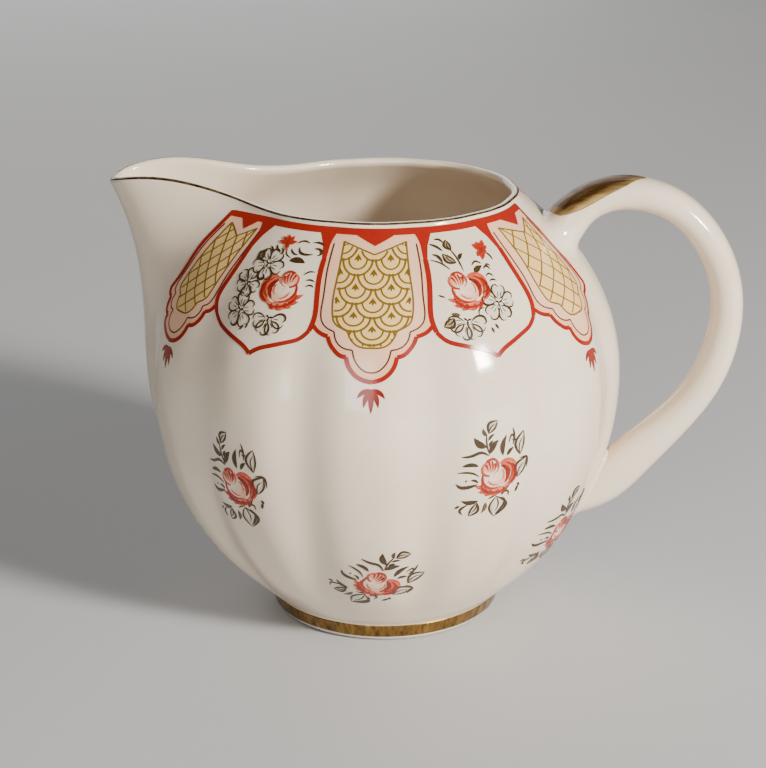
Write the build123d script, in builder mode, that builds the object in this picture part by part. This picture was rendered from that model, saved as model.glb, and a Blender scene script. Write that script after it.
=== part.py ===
"""Porcelain cream jug: a lobed, slip-cast body with a luted handle, gilding and fired transfers.

Frame: millimetres, +Z up, origin at the centre of the foot ring on the table.
The spout points along -X, the handle along +X, and the decorated sides face -Y and +Y.
"""
from build123d import *
import math
import os

os.makedirs("parts", exist_ok=True)

# ---- Cast body: an egg of two half ellipses, straight at the heel and at the neck ----
belly_radius = 47.9            # over the lobes, at the widest level
belly_height = 50.0            # level of the widest ring
egg_overshoot = 6.0            # the upper ellipse would close this far above the rim
egg_drop = 52.5                # half height of the lower ellipse
heel_height = 10.0             # below this the body runs straight down to the foot
rim_height = 88.0              # level of the rim between the spout and the handle
neck_depth = 6.0               # the shoulder runs straight up over this last height to the rim
wall_thickness = 3.0           # measured on the level
lip_thickness = 1.8            # the wall thins to this at the lip
lip_thinning_depth = 22.0      # below the rim
floor_height = 7.0             # level of the inside floor
egg_rise = rim_height + egg_overshoot - belly_height    # half height of the upper ellipse
neck_height = rim_height - neck_depth
lip_thinning_start = rim_height - lip_thinning_depth

# ---- Lobes ----
lobe_count = 12
groove_depth = 1.5
groove_start = 4.0
groove_full = 20.0
groove_fade_start = belly_height + 8.0
groove_fade_end = rim_height - 4.0
groove_left_at_rim = 0.15      # share of the depth that reaches the rim

# ---- Spout, pulled out of the body towards -X ----
spout_root_height = belly_height - 12.0    # the front stays round below this
spout_full_height = belly_height + 6.0     # from here the front line is the spout's own
spout_stand = 0.9              # how far the front line starts outside the belly
spout_front_reach = belly_radius + spout_stand    # its distance from the axis there
spout_flare = 5.3              # how much further the front line leans out at the rim
spout_flare_start = belly_height + 5.0
spout_half_angle = 15.8        # degrees from the spout's middle to half its rise
spout_edge_power = 2.8
spout_smooth_angle = 22.0      # degrees over which the grooves die out beside the spout
spout_smooth_start = belly_height + 5.0
spout_smooth_end = rim_height - 13.0

# ---- Lip line seen from the side ----
lip_rise = 3.7                 # the spout's lip stands this much above the rim
lip_rise_start = spout_front_reach - 31.8    # distances from the axis along the spout
lip_rise_end = spout_front_reach - 4.8
lip_tip_curve = 0.0135         # fall of the lip towards the tip, per square millimetre

# ---- Foot ring ----
foot_stand = 0.145             # how far the ring's top stands out of the heel
foot_taper = 1.1               # the ring narrows by this towards the table
foot_height = 3.6
foot_width = 2.7               # of the standing edge
foot_recess = 2.2
foot_root = 3.4                # how far the ring's solid reaches into the body above its top
foot_root_height = foot_height + foot_root

# ---- Handle: a strap of oval section along a curve in the XZ plane ----
# Each station is the strap's middle, out from the belly and up from the rim, and its thickness there.
handle_line = [
    (-17.3, -13, 9.6),
    (-12.9, -8.1, 8.8),
    (-8.5, -3.1, 7.2),
    (-0.9, -0.2, 6.5),
    (9.5, -2.6, 6.2),
    (17.5, -11.1, 6.3),
    (20.8, -23, 6.4),
    (18.3, -36.2, 6.7),
    (11.7, -46.6, 7),
    (3.7, -55, 8.4),
    (-2.1, -60.8, 8.8),
    (-6.9, -64.4, 6.6),
    (-11.5, -66.4, 5),
]
handle_stations = [(belly_radius + out, rim_height + up, thickness) for out, up, thickness in handle_line]
handle_width = 9.4             # across Y
handle_root_width = 12.4       # across Y at the upper root
handle_root_share = 0.25       # share of the stations over which the root narrows
handle_squareness = 2.3        # 2 is an ellipse, more is squarer
luting_bead = 1.2              # slip worked round each handle joint
root_clearance = 0.3           # bare glaze between the slip and a transfer

# ---- Decoration: thin fired layers on the glaze ----
layer_thickness = 0.2
gilt_rim_width = 0.6
gilt_foot_start = 0.9
gilt_leaf_start = belly_radius - 13.7    # distances from the axis along the handle
gilt_leaf_end = belly_radius + 3.6
gilt_leaf_width = 8.8
gilt_leaf_slope = 25.0         # degrees, the rise of the handle under the leaf
gilt_leaf_level = rim_height - 6.0       # level inside the handle where the leaf starts
collar_middles = {"front": 271.5, "back": 91.5}
collar_pitch = 31.0            # degrees from panel to panel
collar_panels = 5
collar_top = rim_height - 1.2
collar_bottom = rim_height - 18.5    # level where neighbouring panels part
patterned_drop = 9.5           # how far the patterned panels hang below that
flower_drop = 4.0              # and the flower panels
panel_waist_share = 0.55       # a tongue's half width at mid height, as a share of its panel's
panel_gap = 0.4                # between the tops of neighbouring tongues
tongue_overlap = 0.5           # how far a tongue reaches up into the band
sprig_places = {"front": [(238.0, 40.0), (300.5, 44.0), (272.5, 20.0), (331.0, 24.5)],
                "back": [(122.0, 40.0), (58.0, 44.0), (92.0, 20.0), (32.0, 26.0)]}
sprig_width = 14.0
sprig_height = 19.0

# ---- How the curved forms are drawn ----
full_turn = 360
section_step = 5               # degrees between the points of a body section
strap_step = 30                # degrees between the points of a handle section
body_levels = [2, 6, 10, 17, 26, 36, 46, 56]
body_levels += [rim_height + step for step in (-24, -17, -11, -6, -2, 2, 5)]
far = 120


def smooth_step(low, high, value):
    """A smooth rise from 0 at low to 1 at high."""
    share = min(max((value - low) / (high - low), 0), 1)
    return share * share * (3 - 2 * share)


def egg_radius(level):
    """Radius over the lobes at a level, without the spout."""
    inside = min(max(level, heel_height), neck_height)
    half_height = egg_rise if inside > belly_height else egg_drop
    share = (inside - belly_height) / half_height
    flank = math.sqrt(1 - share * share)
    slope = -belly_radius * share / (half_height * flank)
    return belly_radius * flank + slope * (level - inside)


foot_top_radius = egg_radius(foot_height) + foot_stand
foot_base_radius = foot_top_radius - foot_taper
foot_inner_radius = foot_base_radius - foot_width


def spout_rise(level):
    """How far the spout's middle stands out of the egg at a level."""
    above = max((level - spout_flare_start) / (rim_height - spout_flare_start), 0)
    front = spout_front_reach + spout_flare * above ** 3
    return smooth_step(spout_root_height, spout_full_height, level) * (front - egg_radius(level))


def groove_at(angle, level):
    """Depth of the grooves between the lobes at an angle from the handle, in degrees."""
    valley = ((1 - math.cos(math.radians(lobe_count * angle))) / 2) ** 2
    fade = 1 - (1 - groove_left_at_rim) * smooth_step(groove_fade_start, groove_fade_end, level)
    return groove_depth * valley * fade * smooth_step(groove_start, groove_full, level)


def body_point(angle, level):
    """A point of the cast body's outline at an angle from the handle, in degrees, and a level."""
    from_spout = abs(angle % full_turn - full_turn / 2)
    bulge = spout_rise(level) / (1 + (from_spout / spout_half_angle) ** spout_edge_power)
    near_spout = math.exp(-((from_spout / spout_smooth_angle) ** 2))
    smoothing = 1 - smooth_step(spout_smooth_start, spout_smooth_end, level) * near_spout
    radius = egg_radius(level) - groove_at(angle, level) * smoothing + bulge
    return Vector(radius, 0).rotate(Axis.Z, angle)


def body_section(level, growth):
    """Points of the body's outline at a level, moved outwards by growth."""
    points = []
    for angle in range(0, full_turn, section_step):
        along = (body_point(angle + 1, level) - body_point(angle - 1, level)).normalized()
        points.append(body_point(angle, level) + along.rotate(Axis.Z, -90) * growth)
    return points


def body_form(growth=0.0, lowest=body_levels[0], wall=False):
    """The body's form lofted through level sections, or with wall=True its hollow."""
    with BuildPart() as form:
        for level in [lowest] + [level for level in body_levels if level > lowest]:
            thinning = smooth_step(lip_thinning_start, rim_height, level)
            inset = wall_thickness + (lip_thickness - wall_thickness) * thinning
            with BuildSketch(Plane.XY.offset(level)):
                with BuildLine():
                    Spline(body_section(level, -inset if wall else growth), periodic=True)
                make_face()
        loft()
    return form.part


def lip_level(distance):
    """Level of the lip at a distance from the axis towards the spout."""
    fall = lip_tip_curve * max(distance - lip_rise_end, 0) ** 2
    return rim_height + lip_rise * smooth_step(lip_rise_start, lip_rise_end, distance) - fall


def above_lip(drop=0.0):
    """Everything above the lip line lowered by drop."""
    reach = spout_front_reach + 2 * spout_flare
    steps = 8
    run = (reach - lip_rise_start) / steps
    line = [(-reach + run * step, lip_level(reach - run * step) - drop) for step in range(steps + 1)]
    with BuildPart() as cutter:
        with BuildSketch(Plane.XZ):
            with BuildLine():
                Spline(line)
                Polyline(line[-1], (far, rim_height - drop), (far, far), (line[0][0], far), line[0])
            make_face()
        extrude(amount=far / 2, both=True)
    return cutter.part


def strap_form(growth=0.0):
    """The handle's strap, lofted through oval sections, with each section grown."""
    last = len(handle_stations) - 1
    with BuildPart() as form:
        for place, (x, z, thickness) in enumerate(handle_stations):
            before = handle_stations[max(place - 1, 0)]
            after = handle_stations[min(place + 1, last)]
            widening = 1 - smooth_step(0, handle_root_share, place / last)
            half_width = (handle_width + (handle_root_width - handle_width) * widening) / 2 + growth
            half_thickness = thickness / 2 + growth
            along = (after[0] - before[0], 0, after[1] - before[1])
            outline = []
            for angle in range(0, full_turn, strap_step):
                across = math.cos(math.radians(angle))
                sideways = math.sin(math.radians(angle))
                size = (abs(across) ** handle_squareness + abs(sideways) ** handle_squareness)
                scale = size ** (-1 / handle_squareness)
                outline.append((half_thickness * across * scale, half_width * sideways * scale))
            with BuildSketch(Plane(origin=(x, 0, z), x_dir=(-along[2], 0, along[0]), z_dir=along)):
                with BuildLine():
                    Spline(outline, periodic=True)
                make_face()
        loft()
    return form.part


def facing(angle, level):
    """A plane on the axis at a level that looks outwards at an angle from the handle."""
    outwards = Vector(1, 0, 0).rotate(Axis.Z, angle)
    return Plane(origin=(0, 0, level), x_dir=outwards.rotate(Axis.Z, 90), z_dir=outwards)


full_body = body_form()
coated_body = body_form(layer_thickness)
full_strap = strap_form()
bare_strap_zone = strap_form(luting_bead + root_clearance)

with BuildPart() as jug_body:
    add(full_body)
    with BuildSketch(Plane.XZ):
        with BuildLine():
            Polyline((0, 0), (foot_base_radius, 0), (foot_top_radius, foot_height))
            Polyline((foot_top_radius, foot_height), (foot_top_radius, foot_root_height),
                     (0, foot_root_height), (0, 0))
        make_face()
    revolve(axis=Axis.Z)
    add(body_form(lowest=floor_height, wall=True), mode=Mode.SUBTRACT)
    add(above_lip(), mode=Mode.SUBTRACT)
    with BuildSketch(Plane.XY):
        Circle(foot_inner_radius)
    extrude(amount=foot_recess, mode=Mode.SUBTRACT)

with BuildPart() as handle:
    add(full_strap)
    add(full_body, mode=Mode.SUBTRACT)

with BuildPart() as luting:
    add(strap_form(luting_bead))
    add(body_form(luting_bead), mode=Mode.INTERSECT)
    add(full_body, mode=Mode.SUBTRACT)
    add(full_strap, mode=Mode.SUBTRACT)

with BuildPart() as upper_luting_joint:
    add(luting.solids().sort_by(Axis.Z)[-1])

with BuildPart() as lower_luting_joint:
    add(luting.solids().sort_by(Axis.Z)[0])

with BuildPart() as rim_gilding:
    add(coated_body)
    add(full_body, mode=Mode.SUBTRACT)
    add(above_lip(gilt_rim_width), mode=Mode.INTERSECT)
    add(above_lip(), mode=Mode.SUBTRACT)

foot_slope = (foot_top_radius - foot_base_radius) / foot_height
gilt_foot_radius = foot_base_radius + foot_slope * gilt_foot_start
with BuildPart() as foot_gilding:
    with BuildSketch(Plane.XZ):
        with BuildLine():
            Polyline((gilt_foot_radius, gilt_foot_start), (foot_top_radius, foot_height),
                     (foot_top_radius + layer_thickness, foot_height),
                     (gilt_foot_radius + layer_thickness, gilt_foot_start),
                     (gilt_foot_radius, gilt_foot_start))
        make_face()
    revolve(axis=Axis.Z)

with BuildPart() as handle_gilding:
    slope = math.radians(gilt_leaf_slope)
    rising = (math.cos(slope), 0, math.sin(slope))
    upwards = (-math.sin(slope), 0, math.cos(slope))
    length = (gilt_leaf_end - gilt_leaf_start) / math.cos(slope)
    with BuildSketch(Plane(origin=(gilt_leaf_start, 0, gilt_leaf_level), x_dir=rising, z_dir=upwards)):
        with BuildLine():
            Spline((length, 0), (length * 0.3, gilt_leaf_width / 2), (0, 0), tangents=[(-1, 0.5), (0, -1)])
            Spline((length, 0), (length * 0.3, -gilt_leaf_width / 2), (0, 0), tangents=[(-1, -0.5), (0, 1)])
        make_face()
    extrude(amount=gilt_leaf_width)
    add(strap_form(layer_thickness), mode=Mode.INTERSECT)
    add(full_strap, mode=Mode.SUBTRACT)

collars = {}
for side, middle in collar_middles.items():
    with BuildPart() as collar:
        reach = collar_pitch * collar_panels / 2
        with BuildSketch(Plane.XY.offset(collar_bottom)):
            with BuildLine():
                edge = [Vector(far / 2, 0).rotate(Axis.Z, middle + turn) for turn in (-reach, 0, reach)]
                ThreePointArc(*edge)
                Polyline(edge[-1], (0, 0), edge[0])
            make_face()
        extrude(amount=collar_top - collar_bottom)
        for panel in range(-(collar_panels // 2), collar_panels // 2 + 1):
            drop = flower_drop if panel % 2 else patterned_drop
            angle = middle + panel * collar_pitch
            panel_radius = body_point(angle, collar_bottom).length
            half_width = panel_radius * math.sin(math.radians(collar_pitch / 2)) - panel_gap / 2
            waist = half_width * panel_waist_share
            with BuildSketch(facing(angle, collar_bottom)):
                Polygon((-half_width, tongue_overlap), (-waist, -drop / 2), (0, -drop), (waist, -drop / 2),
                        (half_width, tongue_overlap), align=None)
            extrude(amount=far / 2)
        add(coated_body, mode=Mode.INTERSECT)
        add(full_body, mode=Mode.SUBTRACT)
        add(bare_strap_zone, mode=Mode.SUBTRACT)
    collars[side] = collar
front_collar_transfer = collars["front"]
back_collar_transfer = collars["back"]

sprigs = {}
for side, places in sprig_places.items():
    with BuildPart() as sprig_group:
        for angle, level in places:
            with BuildSketch(facing(angle, level)):
                Ellipse(sprig_width / 2, sprig_height / 2)
            extrude(amount=far / 2)
        add(coated_body, mode=Mode.INTERSECT)
        add(full_body, mode=Mode.SUBTRACT)
    sprigs[side] = sprig_group
front_sprig_transfers = sprigs["front"]
back_sprig_transfers = sprigs["back"]

pieces = {
    "jug_body": jug_body,
    "handle": handle,
    "upper_luting_joint": upper_luting_joint,
    "lower_luting_joint": lower_luting_joint,
    "rim_gilding": rim_gilding,
    "foot_gilding": foot_gilding,
    "handle_gilding": handle_gilding,
    "front_collar_transfer": front_collar_transfer,
    "back_collar_transfer": back_collar_transfer,
    "front_sprig_transfers": front_sprig_transfers,
    "back_sprig_transfers": back_sprig_transfers,
}
for name, piece in pieces.items():
    piece.part.label = name
    export_step(piece.part, f"parts/{name}.step")
    print(name, len(piece.solids()), round(piece.part.volume, 1))
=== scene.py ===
"""Porcelain cream jug: the finished jug, modelled round the fixed CAD frame.

The form is written as a radius that depends on an angle and a level, in millimetres and degrees, with the
angle counted from the handle. Every piece is placed on that form, so the body, the gold and the transfers
fit each other. Meshes are in metres, in the frame of the CAD model.
"""
import logging
import math
from dataclasses import dataclass, field
from enum import Enum
from typing import Sequence

import bpy
import numpy as np
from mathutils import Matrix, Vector


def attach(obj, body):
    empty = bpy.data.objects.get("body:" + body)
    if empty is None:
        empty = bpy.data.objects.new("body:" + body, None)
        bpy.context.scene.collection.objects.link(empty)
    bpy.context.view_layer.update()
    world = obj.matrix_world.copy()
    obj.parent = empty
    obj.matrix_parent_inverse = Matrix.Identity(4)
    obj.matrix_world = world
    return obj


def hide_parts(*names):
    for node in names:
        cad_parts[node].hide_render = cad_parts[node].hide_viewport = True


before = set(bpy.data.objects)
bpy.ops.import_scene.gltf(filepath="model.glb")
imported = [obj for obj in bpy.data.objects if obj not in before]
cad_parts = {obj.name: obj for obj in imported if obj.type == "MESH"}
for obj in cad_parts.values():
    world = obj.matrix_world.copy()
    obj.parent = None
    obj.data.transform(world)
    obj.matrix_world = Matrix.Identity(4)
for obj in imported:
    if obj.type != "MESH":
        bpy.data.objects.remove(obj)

log = logging.getLogger("cream_jug")
MM = 0.001
FULL_TURN = 360.0
HALF_TURN = 180.0
UP = np.array([0, 0, 1])
MERGE_DISTANCE = 1e-6          # metres
SURFACE_STEP = 0.05            # degrees or millimetres between points that a slope is read from
Point = tuple[float, float]


def smooth_step(low: float, high: float, value: np.ndarray | float) -> np.ndarray:
    """A smooth rise from 0 at low to 1 at high.

    Args:
        low: Where the rise starts.
        high: Where it ends.
        value: What is read on that scale.

    Returns:
        The share risen, from 0 to 1.
    """
    share = np.clip((np.asarray(value, float) - low) / (high - low), 0, 1)
    return share * share * (3 - 2 * share)


def unit(vectors: np.ndarray) -> np.ndarray:
    """The same directions with length 1."""
    return vectors / np.linalg.norm(vectors, axis=-1, keepdims=True)


@dataclass(frozen=True)
class JugForm:
    """The cast form: an egg of two half ellipses with lobes, a spout and a lip line, in millimetres."""

    belly_radius: float = 47.9
    belly_height: float = 50.0
    egg_rise: float = 44.0
    egg_drop: float = 52.5
    heel_height: float = 10.0
    neck_height: float = 82.0
    rim_height: float = 88.0
    wall: float = 3.0
    lip_wall: float = 1.8
    lip_thinning_start: float = 66.0
    floor_height: float = 7.0
    lobes: int = 12
    groove_depth: float = 1.5
    groove_start: float = 4.0
    groove_full: float = 20.0
    groove_fade_start: float = 58.0
    groove_fade_end: float = 84.0
    groove_left_at_rim: float = 0.15
    spout_root_height: float = 38.0
    spout_full_height: float = 56.0
    spout_front_reach: float = 48.8
    spout_flare: float = 5.3
    spout_flare_start: float = 55.0
    spout_half_angle: float = 15.8
    spout_edge_power: float = 2.8
    spout_smooth_angle: float = 22.0
    spout_smooth_start: float = 55.0
    spout_smooth_end: float = 75.0
    lip_rise: float = 3.7
    lip_rise_start: float = 17.0
    lip_rise_end: float = 44.0
    lip_tip_curve: float = 0.0135
    foot_base_radius: float = 23.2
    foot_top_radius: float = 24.3
    foot_height: float = 3.6
    foot_inner_radius: float = 20.5
    foot_recess: float = 2.2

    def egg(self, level: np.ndarray | float) -> np.ndarray:
        """Radius over the lobes at a level, without the spout.

        Args:
            level: Millimetres above the table.

        Returns:
            The radius.
        """
        level = np.asarray(level, float)
        inside = np.clip(level, self.heel_height, self.neck_height)
        half_height = np.where(inside > self.belly_height, self.egg_rise, self.egg_drop)
        share = (inside - self.belly_height) / half_height
        flank = np.sqrt(1 - share * share)
        slope = -self.belly_radius * share / (half_height * flank)
        return self.belly_radius * flank + slope * (level - inside)

    def spout_rise(self, level: np.ndarray | float) -> np.ndarray:
        """How far the spout's middle stands out of the egg at a level.

        Args:
            level: Millimetres above the table.

        Returns:
            The distance, which is 0 below the spout.
        """
        above = np.clip((level - self.spout_flare_start) / (self.rim_height - self.spout_flare_start), 0, None)
        front = self.spout_front_reach + self.spout_flare * above ** 3
        grown = smooth_step(self.spout_root_height, self.spout_full_height, level)
        return grown * (front - self.egg(level))

    def grooves(self, angle: np.ndarray, level: np.ndarray | float) -> np.ndarray:
        """Depth of the grooves between the lobes.

        Args:
            angle: Degrees from the handle.
            level: Millimetres above the table.

        Returns:
            The depth.
        """
        valley = ((1 - np.cos(np.radians(self.lobes * angle))) / 2) ** 2
        faded = smooth_step(self.groove_fade_start, self.groove_fade_end, level)
        fade = 1 - (1 - self.groove_left_at_rim) * faded
        return self.groove_depth * valley * fade * smooth_step(self.groove_start, self.groove_full, level)

    def radius(self, angle: np.ndarray, level: np.ndarray | float) -> np.ndarray:
        """Outer radius of the cast body at an angle and a level.

        Args:
            angle: Degrees from the handle.
            level: Millimetres above the table.

        Returns:
            The radius.
        """
        from_spout = np.abs(np.mod(angle, FULL_TURN) - HALF_TURN)
        bulge = self.spout_rise(level) / (1 + (from_spout / self.spout_half_angle) ** self.spout_edge_power)
        near_spout = np.exp(-((from_spout / self.spout_smooth_angle) ** 2))
        smoothing = 1 - smooth_step(self.spout_smooth_start, self.spout_smooth_end, level) * near_spout
        return self.egg(level) - self.grooves(angle, level) * smoothing + bulge

    def outline(self, angle: np.ndarray, level: np.ndarray | float,
                growth: np.ndarray | float = 0.0) -> np.ndarray:
        """Points of the body's outline at a level, moved outwards on the level by growth.

        Args:
            angle: Degrees from the handle.
            level: Millimetres above the table.
            growth: Distance outwards, square to the outline.

        Returns:
            The points.
        """
        ring = []
        for turned in (angle - SURFACE_STEP, angle, angle + SURFACE_STEP):
            radius = self.radius(turned, level)
            ring.append(np.stack([radius * np.cos(np.radians(turned)),
                                  radius * np.sin(np.radians(turned))], -1))
        along = unit(ring[2] - ring[0])
        out = np.stack([along[..., 1], -along[..., 0]], -1) * np.asarray(growth)[..., None]
        flat = ring[1] + out
        return np.concatenate([flat, np.broadcast_to(level, flat.shape[:-1])[..., None]], -1)

    def skin(self, angle: np.ndarray, level: np.ndarray, lift: np.ndarray | float = 0.0) -> np.ndarray:
        """Points on the outer surface, lifted off it along its normal.

        Args:
            angle: Degrees from the handle.
            level: Millimetres above the table.
            lift: Distance off the surface.

        Returns:
            The points.
        """
        round_it = self.outline(angle + SURFACE_STEP, level) - self.outline(angle - SURFACE_STEP, level)
        up_it = self.outline(angle, level + SURFACE_STEP) - self.outline(angle, level - SURFACE_STEP)
        normal = unit(np.cross(round_it, up_it))
        return self.outline(angle, level) + normal * np.asarray(lift)[..., None]

    def inset(self, level: np.ndarray | float) -> np.ndarray:
        """Thickness of the wall on the level."""
        thinned = smooth_step(self.lip_thinning_start, self.rim_height, level)
        return self.wall + (self.lip_wall - self.wall) * thinned

    def lip_level(self, distance: np.ndarray) -> np.ndarray:
        """Level of the lip at a distance from the axis towards the spout.

        Args:
            distance: Millimetres from the axis towards the spout.

        Returns:
            The level.
        """
        fall = self.lip_tip_curve * np.clip(distance - self.lip_rise_end, 0, None) ** 2
        return self.rim_height + self.lip_rise * smooth_step(self.lip_rise_start, self.lip_rise_end,
                                                             distance) - fall

    def lip(self, angle: np.ndarray) -> np.ndarray:
        """Level of the lip at each angle, found by settling on the lip line.

        Args:
            angle: Degrees from the handle.

        Returns:
            The level.
        """
        level = np.full(np.shape(angle), self.rim_height)
        for _ in range(40):
            distance = -self.radius(angle, level) * np.cos(np.radians(angle))
            level = (level + self.lip_level(distance)) / 2
        return level

    def climb(self, level: np.ndarray) -> np.ndarray:
        """Length along the wall from the foot up to a level."""
        levels, lengths = self.wall_length()
        return np.interp(level, levels, lengths)

    def level_after(self, length: np.ndarray) -> np.ndarray:
        """The level reached by a length along the wall from the foot."""
        levels, lengths = self.wall_length()
        return np.interp(length, lengths, levels)

    def wall_length(self) -> tuple[np.ndarray, np.ndarray]:
        """Levels from foot to rim and the length along the wall to each.

        Returns:
            The levels and the lengths.
        """
        levels = np.linspace(0, self.rim_height + self.lip_rise, 400)
        radii = self.egg(levels)
        steps = np.hypot(np.diff(levels), np.diff(radii))
        return levels, np.concatenate([[0], np.cumsum(steps)])


FORM = JugForm()


# ---- Making pieces ----

def select_only(piece: bpy.types.Object) -> None:
    """Deselects all and makes one piece selected and active.

    Args:
        piece: The piece.
    """
    bpy.ops.object.select_all(action="DESELECT")
    piece.select_set(True)
    bpy.context.view_layer.objects.active = piece


def turn_outwards(piece: bpy.types.Object, merged: bool) -> None:
    """Turns a piece's faces outwards.

    Args:
        piece: The piece.
        merged: Whether points that meet become one first.
    """
    select_only(piece)
    bpy.ops.object.mode_set(mode="EDIT")
    bpy.ops.mesh.select_all(action="SELECT")
    if merged:
        bpy.ops.mesh.remove_doubles(threshold=MERGE_DISTANCE)
    bpy.ops.mesh.normals_make_consistent(inside=False)
    bpy.ops.object.mode_set(mode="OBJECT")


def wrapped_grid(name: str, table: np.ndarray) -> bpy.types.Object:
    """A grid primitive carried onto a table of points, with its meeting edges and poles merged.

    Args:
        name: The piece's name.
        table: Points in millimetres, as rows by columns by 3.

    Returns:
        The piece, smooth, with its faces outwards.
    """
    rows, columns = table.shape[0] - 1, table.shape[1] - 1
    bpy.ops.object.select_all(action="DESELECT")
    bpy.ops.mesh.primitive_grid_add(x_subdivisions=columns, y_subdivisions=rows, size=1)
    piece = bpy.context.object
    piece.name = piece.data.name = name
    places = np.zeros(len(piece.data.vertices) * 3, np.float32)
    piece.data.vertices.foreach_get("co", places)
    places = places.reshape(-1, 3)
    column = np.rint((places[:, 0] + 0.5) * columns).astype(int)
    row = np.rint((places[:, 1] + 0.5) * rows).astype(int)
    piece.data.vertices.foreach_set("co", (table[row, column] * MM).astype(np.float32).ravel())
    piece.data.update()
    turn_outwards(piece, True)
    bpy.ops.object.shade_smooth()
    return piece


def finish_piece(piece: bpy.types.Object, material: bpy.types.Material, node: str) -> None:
    """Dresses a piece and ties it to the frame.

    Args:
        piece: The piece.
        material: Its finish.
        node: The CAD node that it stands for.
    """
    piece.data.materials.clear()
    piece.data.materials.append(material)
    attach(piece, "root")
    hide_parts(node)
    log.info("%s: %d faces", piece.name, len(piece.data.polygons))


# ---- Finishes ----

def tint(red: float, green: float, blue: float) -> tuple[float, float, float, float]:
    """A screen colour of 0 to 255 as the linear colour that shaders take."""
    shares = [value / 255 for value in (red, green, blue)]
    return (*[s / 12.92 if s <= 0.04045 else ((s + 0.055) / 1.055) ** 2.4 for s in shares], 1.0)


class Recipe:
    """The node tree of one finish."""

    def __init__(self, name: str) -> None:
        """Starts a material with a Principled shader on its surface.

        Args:
            name: The material's name.
        """
        self.material = bpy.data.materials.new(name)
        self.material.use_nodes = True
        self.tree = self.material.node_tree
        self.tree.nodes.clear()
        self.output = self.node("ShaderNodeOutputMaterial")
        self.shader = self.node("ShaderNodeBsdfPrincipled")
        self.tree.links.new(self.shader.outputs[0], self.output.inputs["Surface"])

    def node(self, kind: str, settings: dict | None = None, sockets: dict | None = None) -> bpy.types.Node:
        """Adds a node.

        Args:
            kind: The node's type.
            settings: Its settings, which are set first. A ramp's stops are a list of place and colour.
            sockets: Values or links by socket name or number.

        Returns:
            The node.
        """
        node = self.tree.nodes.new(kind)
        for key, value in (settings or {}).items():
            if key == "stops":
                ramp = node.color_ramp
                while len(ramp.elements) < len(value):
                    ramp.elements.new(0.5)
                for element, (place, colour) in zip(ramp.elements, value):
                    element.position, element.color = place, colour
            else:
                setattr(node, key, value)
        for key, value in (sockets or {}).items():
            self.plug(value, node.inputs[key])
        return node

    def plug(self, value: object, socket: bpy.types.NodeSocket) -> None:
        """Links a wire or a socket to an input, or sets the input to a plain value.

        Args:
            value: The wire, the socket or the plain value.
            socket: The input.
        """
        if isinstance(value, Wire):
            value = value.socket
        if isinstance(value, bpy.types.NodeSocket):
            self.tree.links.new(value, socket)
        else:
            socket.default_value = value

    def noise(self, scale: float, detail: float = 3.0,
              stretch: tuple[float, float, float] = (1, 1, 1)) -> "Wire":
        """Noise on Object coordinates, about 0 to 1.

        Args:
            scale: Grains to the metre.
            detail: Its finer octaves.
            stretch: Scale along each axis.

        Returns:
            The noise.
        """
        where = self.node("ShaderNodeTexCoord").outputs["Object"]
        mapped = self.node("ShaderNodeMapping", None, {"Vector": where, "Scale": stretch})
        made = self.node("ShaderNodeTexNoise", None,
                         {"Vector": mapped.outputs[0], "Scale": scale, "Detail": detail, "Roughness": 0.6})
        return Wire(self, made.outputs[0])

    def tone(self) -> "Wire":
        """The brush tone painted on a piece."""
        return Wire(self, self.node("ShaderNodeAttribute", {"attribute_name": "tone"}).outputs["Fac"])

    def height(self) -> "Wire":
        """Height on the piece, in metres."""
        where = self.node("ShaderNodeTexCoord").outputs["Object"]
        return Wire(self, self.node("ShaderNodeSeparateXYZ", None, {0: where}).outputs["Z"])

    def ramp(self, share: "Wire", stops: list[tuple[float, tuple]]) -> bpy.types.NodeSocket:
        """A colour read from stops along a share."""
        return self.node("ShaderNodeValToRGB", {"stops": stops}, {0: share}).outputs[0]

    def blend(self, share: "Wire", low: object, high: object) -> bpy.types.NodeSocket:
        """A mix of two colours."""
        return self.node("ShaderNodeMix", {"data_type": "RGBA"}, {0: share, 6: low, 7: high}).outputs[2]

    def bump(self, height: "Wire", strength: float, distance: float) -> None:
        """Raises the surface a little along a height.

        Args:
            height: The height.
            strength: Share of its effect, from 0 to 1.
            distance: Depth of the relief, in metres.
        """
        made = self.node("ShaderNodeBump", None, {"Height": height, "Strength": strength, "Distance": distance})
        self.tree.links.new(made.outputs[0], self.shader.inputs["Normal"])

    def set(self, **values: object) -> None:
        """Sets or links the shader's own sockets, named with underscores for spaces.

        Args:
            values: Values, wires or links by socket name.
        """
        for key, value in values.items():
            self.plug(value, self.shader.inputs[key.replace("_", " ")])


@dataclass(frozen=True)
class Wire:
    """A shader socket that adds Math nodes where it stands in an expression."""

    recipe: Recipe
    socket: bpy.types.NodeSocket

    def _math(self, operation: str, first: object, second: object, clamp: bool = False) -> "Wire":
        """A Math node on two values or wires.

        Args:
            operation: The node's operation.
            first: Its first value.
            second: Its second value.
            clamp: Whether the result stays between 0 and 1.

        Returns:
            The result.
        """
        made = self.recipe.node("ShaderNodeMath", {"operation": operation, "use_clamp": clamp},
                                {0: first, 1: second})
        return Wire(self.recipe, made.outputs[0])

    def __add__(self, other: object) -> "Wire":
        """Sum."""
        return self._math("ADD", self, other)

    __radd__ = __add__

    def __sub__(self, other: object) -> "Wire":
        """Difference."""
        return self._math("SUBTRACT", self, other)

    def __rsub__(self, other: object) -> "Wire":
        """Difference from a number."""
        return self._math("SUBTRACT", other, self)

    def __mul__(self, other: object) -> "Wire":
        """Product."""
        return self._math("MULTIPLY", self, other)

    __rmul__ = __mul__

    def __truediv__(self, other: object) -> "Wire":
        """Quotient."""
        return self._math("DIVIDE", self, other)

    def held(self) -> "Wire":
        """The value kept between 0 and 1."""
        return self._math("ADD", self, 0.0, clamp=True)


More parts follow.
